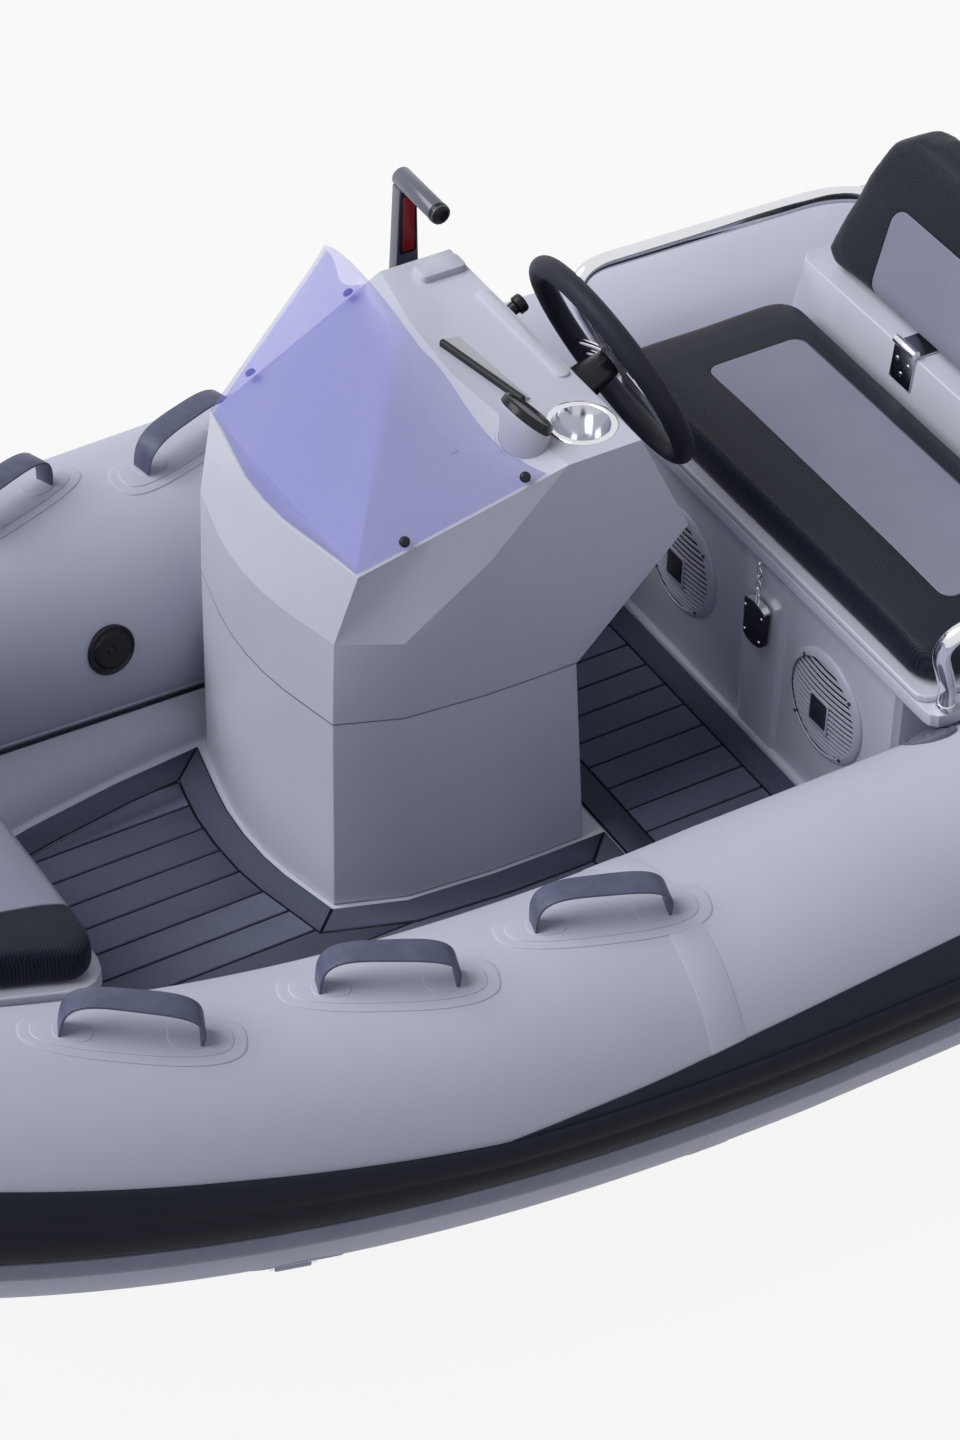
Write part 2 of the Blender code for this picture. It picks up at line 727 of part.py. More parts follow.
def lip_line():
    """Samples along the hull's lip, from the stern to where the collar turns in at the nose."""
    shares = [share_at(HULL_AFT)] + list(np.linspace(0, 1, LIP_SAMPLES))
    points = [on_tube(share, LIP_DEG, SADDLE_CLEAR + HULL_WALL + LINER_CLEAR) for share in shares]
    widest = max(range(len(points)), key=lambda i: points[i].x) + 1
    return np.array(points[:widest]).T


LIP_X, LIP_Y, LIP_Z = lip_line()


def lip_at(x):
    """Half width and height of the hull's lip at a station."""
    return float(np.interp(x, LIP_X, LIP_Y)), float(np.interp(x, LIP_X, LIP_Z))


def keel_height(x):
    """The keel is level, then sweeps up to the stem."""
    top = on_tube(1.0, CHINE_DEG, HULL_WALL).z
    along = max((x - KEEL_RISE_START) / (NOSE_X - KEEL_RISE_START), 0.0)
    return top * min(along, 1.0) ** KEEL_POWER


def hull_section(share):
    """Half of the hull's outer section at a share of the collar, from the keel to the lip."""
    saddle = [on_tube(share, CHINE_DEG + (LIP_DEG - CHINE_DEG) * i / SADDLE_STEPS, SADDLE_CLEAR)
              for i in range(SADDLE_STEPS + 1)]
    chine = saddle[0]
    narrow = max(min((chine.x - KEEL_RISE_START) / (NOSE_X - KEEL_RISE_START), 1.0), 0.0)
    half = min(KEEL_HALF + (KEEL_TIP_HALF - KEEL_HALF) * narrow, chine.y * KEEL_CHINE_SHARE)
    return [Vector((chine.x, half, keel_height(chine.x)))] + saddle


def hull_shares():
    """The hull's stations, from its flat stern to its stem. They are the collar's own, so the two nest."""
    return [share_at(HULL_AFT), 0.0] + bow_shares()[:-1]


def hull():
    """The moulded hull bottom, as a thin shell that the collar sits in."""
    rings = []
    for share in hull_shares():
        half = hull_section(share)
        rings.append([Vector((p.x, -p.y, p.z)) for p in half[::-1]] + half)
    made = add("hull_shell", from_rings(rings, caps=False, closed=False), GELCOAT)
    face_down = made.data.polygons[len(rings[0]) // 2 - 1]
    if face_down.normal.z > 0:
        made.data.flip_normals()
    return solidify(made, HULL_WALL, -1.0)


def liner_edge(x):
    """Half width of the deck liner's floor at a station."""
    along = max(x - BOW_START, 0.0) / (LINER_FRONT - BOW_START)
    return lip_at(x)[0] - LINER_INSET - LINER_NARROW * along ** 2


def liner_section(x):
    """The deck liner's surface across the boat at a station."""
    half, height = lip_at(x)
    floor = liner_edge(x)
    side = [(x, half, height), (x, floor, FLOOR_Z + LINER_RADIUS), (x, floor - LINER_RADIUS, FLOOR_Z)]
    return [(x, -y, z) for x, y, z in side] + side[::-1]


def liner():
    """The inner moulding: the floor and the low side walls."""
    stations = [HULL_AFT + GAP] + list(np.linspace(BOW_START, LINER_FRONT, LINER_STATIONS))
    made = add("deck_liner", from_rings([liner_section(x) for x in stations], caps=False, closed=False), GELCOAT)
    if made.data.polygons[2].normal.z < 0:
        made.data.flip_normals()
    return solidify(made, LINER_WALL, -1.0)


def transom():
    """The flat board across the stern that carries an outboard motor, with its drain plug."""
    top_half = HALF_TRACK - TUBE_RADIUS - TRANSOM_SIDE_GAP
    outline = [(p.y, p.z) for p in hull_section(share_at(HULL_AFT)) if p.z < TUBE_Z]
    outline += [(top_half, TUBE_Z), (top_half, TRANSOM_TOP)]
    outline += [(-y, z) for y, z in outline[::-1]]
    aft = HULL_AFT - GAP - TRANSOM_THICK
    board = plate("transom", outline, 0.0, TRANSOM_THICK, GELCOAT)
    aim(board, (aft + TRANSOM_THICK / 2, 0, 0), (1, 0, 0), (0, 1, 0))
    plug = turned("drain_plug", shares_of(DRAIN_SHARES, DRAIN_RADIUS, DRAIN_HEAD), PLASTIC, 16)
    aim(plug, (aft - GAP, 0, DRAIN_Z), (-1, 0, 0))


def bow_eye():
    """A steel towing eye on the stem."""
    keel = [hull_section(share)[0] for share in hull_shares()]
    wanted = on_tube(1.0, CHINE_DEG, HULL_WALL).z - EYE_DROP
    low, high = next(pair for pair in zip(keel, keel[1:]) if pair[1].z > wanted)
    slope = Vector((high.x - low.x, 0, high.z - low.z)).normalized()
    out = Vector((slope.z, 0, -slope.x))
    root = Vector(((low.x + high.x) / 2, 0, (low.z + high.z) / 2)) + out * GAP
    half = EYE_WIDTH / 2
    leg = EYE_REACH * EYE_LEG_SHARE
    points = [root - slope * half]
    for i in range(EYE_STEPS + 1):
        angle = math.pi * i / EYE_STEPS
        points.append(root - slope * half * math.cos(angle) + out * (leg + (EYE_REACH - leg) * math.sin(angle)))
    points.append(root + slope * half)
    wire("bow_eye", points, EYE_WIRE, STEEL)


def deck_pads():
    """Two planked foam pads: one round the console, and one before the bench."""
    def edge(x):
        return liner_edge(x) - LINER_RADIUS - PAD_EDGE
    low = FLOOR_Z + GAP
    fore = BOW_SEAT_AFT - PAD_EDGE
    ring = [(x, y) for x, y, z in console_ring(0.0, CONSOLE_FRONT - CONSOLE_LENGTH, PAD_EDGE * 2)]
    port_side = ring[len(CONSOLE_PLAN_SHARES) - 2::-1]
    starboard_side = ring[:-4:-1]
    steps = list(np.linspace(fore, PAD_JOINT_X, PAD_STEPS))
    outline = [(x, edge(x)) for x in steps] + [spot for spot in port_side if spot[0] > PAD_JOINT_X]
    outline += starboard_side + [(x, -edge(x)) for x in steps[::-1] if x > starboard_side[-1][0]]
    plate("deck_pad_front", outline, low, DECK_Z, FOAM)
    back = BENCH_FRONT + PAD_EDGE
    front = PAD_JOINT_X - PAD_JOINT
    outline = ((front, edge(front)), (back, edge(back)), (back, -edge(back)), (front, -edge(front)))
    plate("deck_pad_aft", outline, low, DECK_Z, FOAM)


def console_ring(height, back_x, grow=0.0):
    """The console's plan at a height, from the front round to port and back by starboard."""
    half = []
    length = CONSOLE_FRONT - back_x
    for along, across in CONSOLE_PLAN_SHARES:
        x = CONSOLE_FRONT + grow - along * (length + grow * 2)
        half.append((x, across * CONSOLE_HALF + (grow if across else 0.0)))
    limit = CONSOLE_STARBOARD_HALF + grow
    port = [(x, CONSOLE_Y + y, height) for x, y in half]
    return port + [(x, CONSOLE_Y - min(y, limit), height) for x, y in half[:0:-1]]


def both_sides(half):
    """A ring about the console's middle, from points that run aft along its port side."""
    return [(x, CONSOLE_Y + y, z) for x, y, z in half] + [(x, CONSOLE_Y - y, z) for x, y, z in half[:0:-1]]


def cowl_knuckle():
    """The cowl's widest line, from its front to the low corner of its aft face."""
    rise = DASH_Z - KNUCKLE_Z
    points = [(CONSOLE_FRONT - along * CONSOLE_LENGTH, across * CONSOLE_HALF, KNUCKLE_Z)
              for along, across in CONSOLE_PLAN_SHARES[:4]]
    points += [(CONSOLE_FRONT + (COWL_BACK_X - CONSOLE_FRONT) * along, across * COWL_WIDE_HALF, KNUCKLE_Z + up * rise)
               for along, across, up in KNUCKLE_SHARES]
    return points + [(COWL_BACK_X, COWL_WIDE_HALF, COWL_BACK_Z)]


def cowl_nose(shares):
    """Points on the rounded front of the cowl's top rim."""
    lead = CONSOLE_FRONT - CONSOLE_LENGTH * CONSOLE_PLAN_SHARES[3][0] - COWL_FRONT_TOP_X
    return [(COWL_FRONT_TOP_X + lead * along, COWL_TOP_HALF * across, COWL_FRONT_TOP_Z) for along, across in shares]


def cowl_side(share):
    """A point on the side of the cowl's top rim, from its front corner to the dash."""
    return (COWL_FRONT_TOP_X + (DASH_FRONT_X - COWL_FRONT_TOP_X) * share,
            COWL_TOP_HALF + (DASH_HALF - COWL_TOP_HALF) * share,
            COWL_FRONT_TOP_Z + (DASH_Z - COWL_FRONT_TOP_Z) * share)


def cowl_mesh():
    """The cowl's open surface. The ridge along the front of its dash bows forward in the middle."""
    rim = cowl_nose(COWL_NOSE_SHARES) + [cowl_side(share) for share in COWL_SIDE_SHARES]
    rings = [console_ring(SEAM_Z, COWL_SEAM_BACK_X), both_sides(cowl_knuckle()),
             both_sides(rim + [(DASH_BACK_X, DASH_HALF, DASH_Z)])]
    shape = bmesh.new()
    seam, knuckle, crown = [[shape.verts.new(point) for point in ring] for ring in rings]
    count = len(crown)
    aft = count // 2
    ridge = aft - 1
    strips = []
    for i in range(1, aft + 1):
        strip = [crown[i]]
        for share in DASH_BULGE_SHARES[1:-1]:
            point = crown[i].co.lerp(crown[-i].co, share)
            point.x += DASH_BULGE * math.sin(math.pi * share) if i == ridge else 0.0
            strip.append(shape.verts.new(point))
        strips.append(strip + [crown[-i]])
    for i in range(count):
        j = (i + 1) % count
        shape.faces.new((seam[i], seam[j], knuckle[j], knuckle[i]))
        top = strips[-1][::-1] if i == aft else [crown[j], crown[i]]
        shape.faces.new([knuckle[i], knuckle[j]] + top)
    shape.faces.new([crown[0]] + strips[0])
    for near, far in zip(strips, strips[1:]):
        for i in range(len(near) - 1):
            shape.faces.new((near[i], near[i + 1], far[i + 1], far[i]))
    return finished(shape)


def console():
    """The console's two mouldings, which meet at a seam."""
    back = CONSOLE_FRONT - CONSOLE_LENGTH
    foot = FLOOR_Z + GAP
    levels = ((foot, back), (SEAM_Z - GAP, COWL_SEAM_BACK_X))
    outer = [console_ring(z, x) for z, x in levels]
    inner = [console_ring(z, x + CONSOLE_WALL, -CONSOLE_WALL) for z, x in levels[::-1]]
    add("console_base", hollow_ring(outer + inner), GELCOAT)

    mesh = cowl_mesh()
    if max(mesh.polygons, key=lambda face: face.center.z).normal.z < 0:
        mesh.flip_normals()
    cowl = solidify(add("console_cowl", mesh, GELCOAT), CONSOLE_WALL, -1.0)
    bore = CUP_RADIUS + GAP
    hole = turned("cup_hole", ((bore, OVERRUN), (bore, -OVERRUN)), GELCOAT, CUP_SIDES)
    hole.location = (CUP_X, CUP_Y, DASH_Z)
    combine(cowl, hole, "DIFFERENCE")
    inside = CUP_RADIUS - CUP_WALL
    lip = CUP_RADIUS + CUP_LIP
    cup = turned("cup_holder", ((inside, CUP_WALL - CUP_DEPTH), (inside, 0.0), (lip, GAP + CUP_WALL), (lip, GAP),
                                (CUP_RADIUS, GAP), (CUP_RADIUS, -CUP_DEPTH)), STEEL, CUP_SIDES)
    cup.location = (CUP_X, CUP_Y, DASH_Z)
    gauge_pod(cowl)


def gauge_pod(cowl):
    """A round gauge that looks aft and up from a pod, which stands up through the front of the dash."""
    tilt = math.radians(GAUGE_TILT_DEG)
    middle = Vector((GAUGE_X, GAUGE_Y, DASH_Z))

    def ring(clear, height, slope):
        across = GAUGE_RADIUS + clear
        points = []
        for angle in np.linspace(0, 2 * math.pi, POD_SIDES, endpoint=False):
            x = across * math.cos(tilt) * math.cos(angle)
            rise = height + (x + GAUGE_RADIUS * math.cos(tilt)) * slope
            points.append(middle + Vector((x, across * math.sin(angle), rise)))
        return points

    add("gauge_pod", from_rings([ring(0.0, -POD_DEPTH, 0.0), ring(0.0, GAP, math.tan(tilt))]), GELCOAT)
    hole = add("pod_hole", from_rings([ring(GAP, -POD_DEPTH, 0.0), ring(GAP, POD_DEPTH, 0.0)]), GELCOAT)
    combine(cowl, hole, "DIFFERENCE")
    out = Vector((-math.sin(tilt), 0, math.cos(tilt)))
    dial = turned("gauge", shares_of(GAUGE_SHARES, GAUGE_RADIUS, GAUGE_HEIGHT), PLASTIC)
    aim(dial, middle + Vector((0, 0, GAUGE_RADIUS * math.sin(tilt) + GAP)) + out * GAP, out)


def windshield():
    """One bent sheet of tinted acrylic that stands on the rim of the cowl's top and wraps round its front."""
    low = [(x - SHIELD_INSET, y, z) for x, y, z in cowl_nose(COWL_NOSE_SHARES + SHIELD_NOSE_SHARES)]
    end = (SHIELD_END_X - COWL_FRONT_TOP_X) / (DASH_FRONT_X - COWL_FRONT_TOP_X)
    sides = [cowl_side(end * i / SHIELD_SIDE_STEPS) for i in range(SHIELD_SIDE_STEPS + 1)]
    low += [(x, y - SHIELD_INSET, z) for x, y, z in sides]
    half = []
    for i, foot in enumerate(low):
        turn = math.pi / 2 * i / (len(low) - 1)
        arch = math.cos(turn)
        top = Vector((SHIELD_SHOULDER_X + (SHIELD_TOP_X - SHIELD_SHOULDER_X) * arch,
                      SHIELD_SHOULDER_HALF * math.sin(turn),
                      SHIELD_SHOULDER_Z + (SHIELD_TOP_Z - SHIELD_SHOULDER_Z) * arch ** SHIELD_ARCH_POWER))
        lean = (top - Vector(foot)).normalized()
        foot = Vector(foot) + Vector((0, 0, SHIELD_LIFT + SHIELD_THICK / 2 * math.sqrt(1 - lean.z ** 2)))
        half.append((foot, top))
    rows = []
    for share in SHIELD_RISE_SHARES:
        ring = both_sides([foot.lerp(top, share) for foot, top in half])
        middle = len(half)
        rows.append(ring[middle:] + ring[:middle])
    sheet = add("windshield", from_rings(rows, caps=False, closed=False), ACRYLIC)
    solidify(sheet, SHIELD_THICK, 0.0)


def helm_axes():
    """The helm's outward axis, its upward direction and the middle of the cowl's aft face."""
    tilt = math.atan2(DASH_BACK_X - COWL_BACK_X, DASH_Z - COWL_BACK_Z)
    out = Vector((-math.cos(tilt), 0, math.sin(tilt)))
    up = Vector((math.sin(tilt), 0, math.cos(tilt)))
    middle = Vector(((DASH_BACK_X + COWL_BACK_X) / 2, CONSOLE_Y, (DASH_Z + COWL_BACK_Z) / 2))
    return out, up, middle


def helm():
    """The helm's cover plate, and a wheel of hub, three flat spokes and a padded rim."""
    tilt = math.radians(WHEEL_TILT_DEG)
    axis = Vector((-math.cos(tilt), 0, math.sin(tilt)))
    centre = Vector((WHEEL_X, CONSOLE_Y, WHEEL_Z))
    out, up, middle = helm_axes()
    reach = (centre - middle).dot(out)
    foot = centre - out * (reach - GAP)
    neck = reach - SPOKE_WIRE / 2 - GAP * 3
    cover = turned("helm_plate", [(HELM_HALF * HELM_NECK_SHARE, neck)] + shares_of(HELM_SHARES, HELM_HALF, HELM_THICK),
                   PLASTIC)
    aim(cover, foot, out)
    hub = turned("wheel_hub", shares_of(HUB_SHARES, HUB_RADIUS, HUB_DEPTH), PLASTIC)
    aim(hub, centre + axis * (SPOKE_WIRE / 2 + GAP), axis)
    bpy.ops.mesh.primitive_torus_add(major_radius=WHEEL_RADIUS, minor_radius=RIM_WIRE, major_segments=RIM_STEPS,
                                     minor_segments=RIM_SIDES)
    ring = bpy.context.object
    rim = add("wheel_rim", ring.data.copy(), BLACK)
    bpy.data.objects.remove(ring, do_unlink=True)
    aim(rim, centre, axis)
    half = SPOKE_SPREAD
    bore = (WHEEL_RADIUS - RIM_WIRE) * math.cos(math.pi / RIM_STEPS)
    inner = math.sqrt(bore ** 2 - half ** 2) - GAP
    outline = []
    for degrees in SPOKE_DEGREES:
        turn = Matrix.Rotation(math.radians(degrees), 2)
        for x, y in ((HUB_RADIUS, -half), (inner, -half), (inner, half), (HUB_RADIUS, half)):
            outline.append(turn @ Vector((x, y)))
    spokes = plate("wheel_spokes", outline, -SPOKE_WIRE / 2, SPOKE_WIRE / 2, STEEL)
    aim(spokes, centre, axis, up)


def controls():
    """The throttle with its lever, and the key switch."""
    wide, deep, tall = THROTTLE_BOX
    last = KNUCKLE_SHARES[-1]
    start = CONSOLE_FRONT + (COWL_BACK_X - CONSOLE_FRONT) * last[0]
    along = (THROTTLE_X - wide / 2 + THROTTLE_EDGE - start) / (COWL_BACK_X - start)
    side_y = CONSOLE_Y - COWL_WIDE_HALF * (last[1] + (1 - last[1]) * along)
    box_y = side_y - deep / 2 - GAP
    box("throttle_box", (THROTTLE_X, box_y, THROTTLE_PIVOT_Z), THROTTLE_BOX, PLASTIC, THROTTLE_EDGE)
    half = [(LEVER_WIDTH * across, LEVER_LENGTH * up) for across, up in LEVER_SHARES]
    outline = half + [(-x, z) for x, z in half[::-1]]
    lever_y = box_y - deep / 2 - GAP - LEVER_THICK / 2
    lever = plate("throttle_lever", outline, -LEVER_THICK / 2, LEVER_THICK / 2, GREY_PLASTIC)
    lever = as_mesh(aim(lever, (THROTTLE_X, lever_y, THROTTLE_PIVOT_Z), (0, -1, 0), (1, 0, 0)))
    grip = turned("lever_grip", ((GRIP_RADIUS, GRIP_LENGTH), (GRIP_RADIUS, -LEVER_THICK / 2)), GREY_PLASTIC, GRIP_SIDES)
    aim(grip, (THROTTLE_X, lever_y, THROTTLE_PIVOT_Z + LEVER_LENGTH * GRIP_SHARE), (0, 1, 0))
    combine(lever, grip, "UNION")
    box("throttle_inset", (THROTTLE_X, lever_y + LEVER_THICK / 2 + GAP + INSET_THICK / 2,
                           THROTTLE_PIVOT_Z + LEVER_LENGTH * INSET_TOP_SHARE - INSET_LENGTH / 2),
        (INSET_WIDTH, INSET_THICK, INSET_LENGTH), RED)
    out, up, middle = helm_axes()
    spot = middle + Vector((0, -SWITCH_OFFSET, 0)) + up * SWITCH_RISE
    switch = box("switch_plate", spot, (SWITCH_PLATE, SWITCH_PLATE, SWITCH_THICK), GREY_PLASTIC, SWITCH_EDGE, 1)
    aim(switch, spot + out * (SWITCH_THICK / 2 + GAP), out, up)
    key = turned("key", shares_of(KEY_SHARES, KEY_RADIUS, KEY_LENGTH), PLASTIC, GRIP_SIDES)
    aim(key, spot + out * (SWITCH_THICK + GAP * 2), out)


def cushion(name, outline, low, thick):
    """A padded slab: straight underside, drawn-in sides and a crowned top, from a plan outline."""
    middle = sum(x for x, y in outline) / len(outline)
    levels = [(scale, low + thick * up) for scale, up in CUSHION_SIDE_SHARES]
    levels += [(scale, low + thick + CUSHION_CROWN * up) for scale, up in CUSHION_TOP_SHARES]
    rings = [[(middle + (x - middle) * scale, y * scale, z) for x, y in outline] for scale, z in levels]
    return add(name, from_rings(rings), VINYL)


def bow_seat():
    """The bow locker, its lid and its cushion."""
    def plan(shrink, steps=3):
        return rounded_rect(BOW_SEAT_AFT + shrink, BOW_SEAT_FRONT - shrink, BOW_SEAT_HALF - shrink, SEAT_CORNER,
                            steps, BOW_SEAT_FRONT_HALF - shrink)
    low, high = FLOOR_Z + GAP, BOW_LOCKER_TOP
    rim = LOCKER_WALL + LOCKER_FLANGE
    levels = ((LOCKER_FLANGE, low), (LOCKER_FLANGE, high - LOCKER_FLANGE), (0.0, high - LOCKER_LIP), (0.0, high),
              (rim, high), (rim, low))
    add("bow_locker", hollow_ring([[(x, y, z) for x, y in plan(shrink)] for shrink, z in levels]), GELCOAT)
    low = high + GAP
    plate("bow_lid", plan(0.0), low, low + BOW_LID_THICK, GELCOAT)
    cushion("bow_cushion", plan(0.0, 5), low + BOW_LID_THICK + GAP, BOW_CUSHION_THICK)


def bench():
    """The bench moulding with its lid, seat cushion, speakers, tank and key fob."""
    low, high = FLOOR_Z + GAP, BENCH_TOP
    wall, rim = BENCH_WALL, BENCH_RIM
    under = high - BENCH_FLANGE_THICK
    levels = ((BENCH_HALF, 0.0, low), (BENCH_HALF, 0.0, under - wall), (BENCH_FLANGE_HALF, BENCH_FLANGE_OUT, under),
              (BENCH_FLANGE_HALF, BENCH_FLANGE_OUT, high), (BENCH_HALF - rim, -rim, high),
              (BENCH_HALF - rim, -rim, high - wall), (BENCH_HALF - wall, -wall, under - wall * 2),
              (BENCH_HALF - wall, -wall, low))
    rings = [[(x, y, z) for x, y in rounded_rect(BENCH_BACK - min(grow, 0.0), BENCH_FRONT + grow, half, BENCH_CORNER)]
             for half, grow, z in levels]
    add("bench_base", hollow_ring(rings), GELCOAT)
    low = BENCH_TOP + GAP
    front = BENCH_FRONT + BENCH_FLANGE_OUT
    plate("bench_lid", rounded_rect(LID_BACK, front, CUSHION_HALF, BENCH_CORNER), low, low + LID_THICK, GELCOAT)
    cushion("seat_cushion", rounded_rect(LID_BACK, front, CUSHION_HALF, SEAT_CORNER, 5), low + LID_THICK + GAP,
            CUSHION_THICK)
    for word, side in SIDES:
        speaker = turned(word + "_speaker", shares_of(SPEAKER_SHARES, SPEAKER_RADIUS, SPEAKER_PROUD), WHITE_PLASTIC)
        aim(speaker, (BENCH_FRONT + GAP, SPEAKER_Y * side, SPEAKER_Z), (1, 0, 0))
    top = Vector((BENCH_FRONT + TAG_OUT, TAG_Y, BENCH_TOP - BENCH_FLANGE_THICK - TAG_HANG))
    end = top - Vector((0, 0, CHAIN_LENGTH))
    wire("tag_chain", (top, end), CHAIN_RADIUS, STEEL)
    box("tag_fob", end - Vector((0, 0, FOB_SIZE[2] / 2 + GAP)), FOB_SIZE, BLACK, FOB_EDGE)
    box("fuel_tank", ((LID_BACK + BENCH_FRONT) / 2, 0, FLOOR_Z + GAP + TANK_SIZE[2] / 2), TANK_SIZE, RED, TANK_EDGE)


def backrest():
    """The coaming behind the seat, and the backrest that folds forward on two hinges."""
    low, high = BENCH_TOP + GAP, COAMING_TOP
    back = COAMING_FRONT - COAMING_DEPTH
    slant, wall = COAMING_SLANT, BENCH_WALL
    levels = ((slant + wall, wall, high - wall), (wall, wall, low), (0.0, 0.0, low), (slant, 0.0, high))
    rings = [[(x, y, z) for x, y in rounded_rect(back + inset, COAMING_FRONT - shrink, COAMING_HALF - shrink,
                                                 BENCH_CORNER)] for shrink, inset, z in levels]
    add("seat_coaming", from_rings(rings), GELCOAT)
    rise = Vector((-slant, 0, high - low)).normalized()
    out = Vector((rise.z, 0, -rise.x))
    edge = Vector((COAMING_FRONT - slant, 0, high))
    skin = out * (HINGE_THICK / 2 + GAP)
    pivot = edge + skin + rise * (KNUCKLE_RADIUS + GAP)
    strap_z = high + GAP + HINGE_THICK / 2
    seat_low = strap_z + HINGE_THICK / 2 + GAP
    lean = math.tan(math.radians(BACKREST_LEAN_DEG))
    face = pivot.x - KNUCKLE_RADIUS - BACKREST_CLEAR
    rings = []
    for wide, up, trim, rear_trim in BACKREST_SHARES:
        half = (BACKREST_HALF + (BACKREST_TOP_HALF - BACKREST_HALF) * up) * wide
        here = face - lean * BACKREST_HEIGHT * up
        outline = rounded_rect(here - BACKREST_THICK * (1 - rear_trim), here - BACKREST_THICK * trim, half,
                               BACKREST_CORNER, 2)
        rings.append([(x, y, seat_low + BACKREST_HEIGHT * up) for x, y in outline])
    add("backrest_cushion", from_rings(rings), VINYL)
    for word, side in SIDES:
        y = Vector((0, HINGE_Y * side, 0))
        leaf = box(word + "_hinge_leaf", edge, (HINGE_WIDTH, HINGE_LEAF, HINGE_THICK), STEEL)
        aim(leaf, edge + y + skin - rise * (HINGE_LEAF / 2), out, (0, 1, 0))
        strap = box(word + "_hinge_strap", (pivot.x - STRAP_LENGTH / 2, y.y, strap_z),
                    (STRAP_LENGTH, HINGE_WIDTH, HINGE_THICK), STEEL)
        barrel = turned(word + "_barrel", ((KNUCKLE_RADIUS, HINGE_WIDTH / 2), (KNUCKLE_RADIUS, -HINGE_WIDTH / 2)),
                        STEEL, GRIP_SIDES)
        aim(barrel, pivot + y, (0, 1, 0))
        combine(strap, barrel, "UNION")


def stern_rail():
    """A polished rail that rises each side of the bench and runs round behind the backrest, on two posts."""
    foot = BENCH_TOP + GAP
    aft = RAIL_FRONT - RAIL_FOOT_BACK
    half = ((aft, RAIL_FOOT_HALF, foot), (aft, RAIL_FOOT_HALF, foot + RAIL_RISE), (RAIL_FRONT, RAIL_HALF, RAIL_TOP),
            (RAIL_BACK, RAIL_HALF, RAIL_TOP - RAIL_FALL))
    route = list(half) + [(x, -y, z) for x, y, z in half[::-1]]
    wire("stern_rail", bent(route, RAIL_BEND), RAIL_RADIUS, STEEL)
    low = COAMING_TOP + GAP
    high = RAIL_TOP - RAIL_FALL - RAIL_RADIUS * math.cos(math.pi / WIRE_SIDES) - GAP
    for word, side in SIDES:
        post = turned(word + "_rail_post", ((POST_RADIUS, high - low), (POST_RADIUS, POST_FOOT),
                                            (POST_FOOT_RADIUS, POST_FOOT_EDGE), (POST_FOOT_RADIUS, 0.0)), STEEL)
        post.location = (RAIL_BACK, POST_Y * side, low)


collar()
band("rub_strake", STRAKE_TOP_DEG, STRAKE_BOTTOM_DEG, STRAKE_THICK, BLACK)
band("rub_band", STRAKE_BOTTOM_DEG - BAND_GAP_DEG, BAND_BOTTOM_DEG, BAND_THICK, GREY_BAND)
handles()
d_rings()
hull()
liner()
transom()
bow_eye()
deck_pads()
console()
windshield()
helm()
controls()
bow_seat()
bench()
backrest()
stern_rail()
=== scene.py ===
import math

import bmesh
import bpy
import numpy as np
from mathutils import Matrix, Vector


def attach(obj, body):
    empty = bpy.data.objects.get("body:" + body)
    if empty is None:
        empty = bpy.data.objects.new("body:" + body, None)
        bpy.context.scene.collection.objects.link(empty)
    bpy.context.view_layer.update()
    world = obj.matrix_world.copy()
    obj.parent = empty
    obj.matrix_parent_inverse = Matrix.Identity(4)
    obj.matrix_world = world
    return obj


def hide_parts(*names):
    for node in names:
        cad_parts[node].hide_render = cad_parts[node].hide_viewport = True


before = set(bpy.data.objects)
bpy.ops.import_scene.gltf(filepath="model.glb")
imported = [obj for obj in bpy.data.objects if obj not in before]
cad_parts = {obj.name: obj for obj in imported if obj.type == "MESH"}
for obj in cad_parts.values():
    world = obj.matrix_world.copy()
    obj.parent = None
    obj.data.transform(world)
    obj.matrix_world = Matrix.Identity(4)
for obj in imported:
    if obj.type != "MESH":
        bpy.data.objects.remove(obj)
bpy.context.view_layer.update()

# The floor, the daylight and the camera. The floor is a plain pale sheet of paper, and the daylight is one wide
# soft sun and an even sky, so that the air-filled tubes shade gently from their tops to their undersides. The
# paper and the sky look white to the camera, and in metal and glass.
CAMERA_PLACE = (2.30, 3.877, 4.414)
CAMERA_RIGHT = Vector((-0.86, 0.509, 0.022))
CAMERA_AHEAD = Vector((-0.397, -0.643, -0.655)).normalized()
FOCAL_PIXELS = 4346.4
FRAME_PIXELS = 1440
FLOOR_REACH, FLOOR_DROP, FLOOR_GLOW = 60.0, 0.0004, 0.9
SKY_COLOUR, WHITE = (0.24, 0.245, 0.27), (1.0, 1.0, 1.0)
SUN_FROM, SUN_STRENGTH, SUN_SPREAD = Vector((0.85, -0.35, 1.0)), 2.8, math.radians(50)


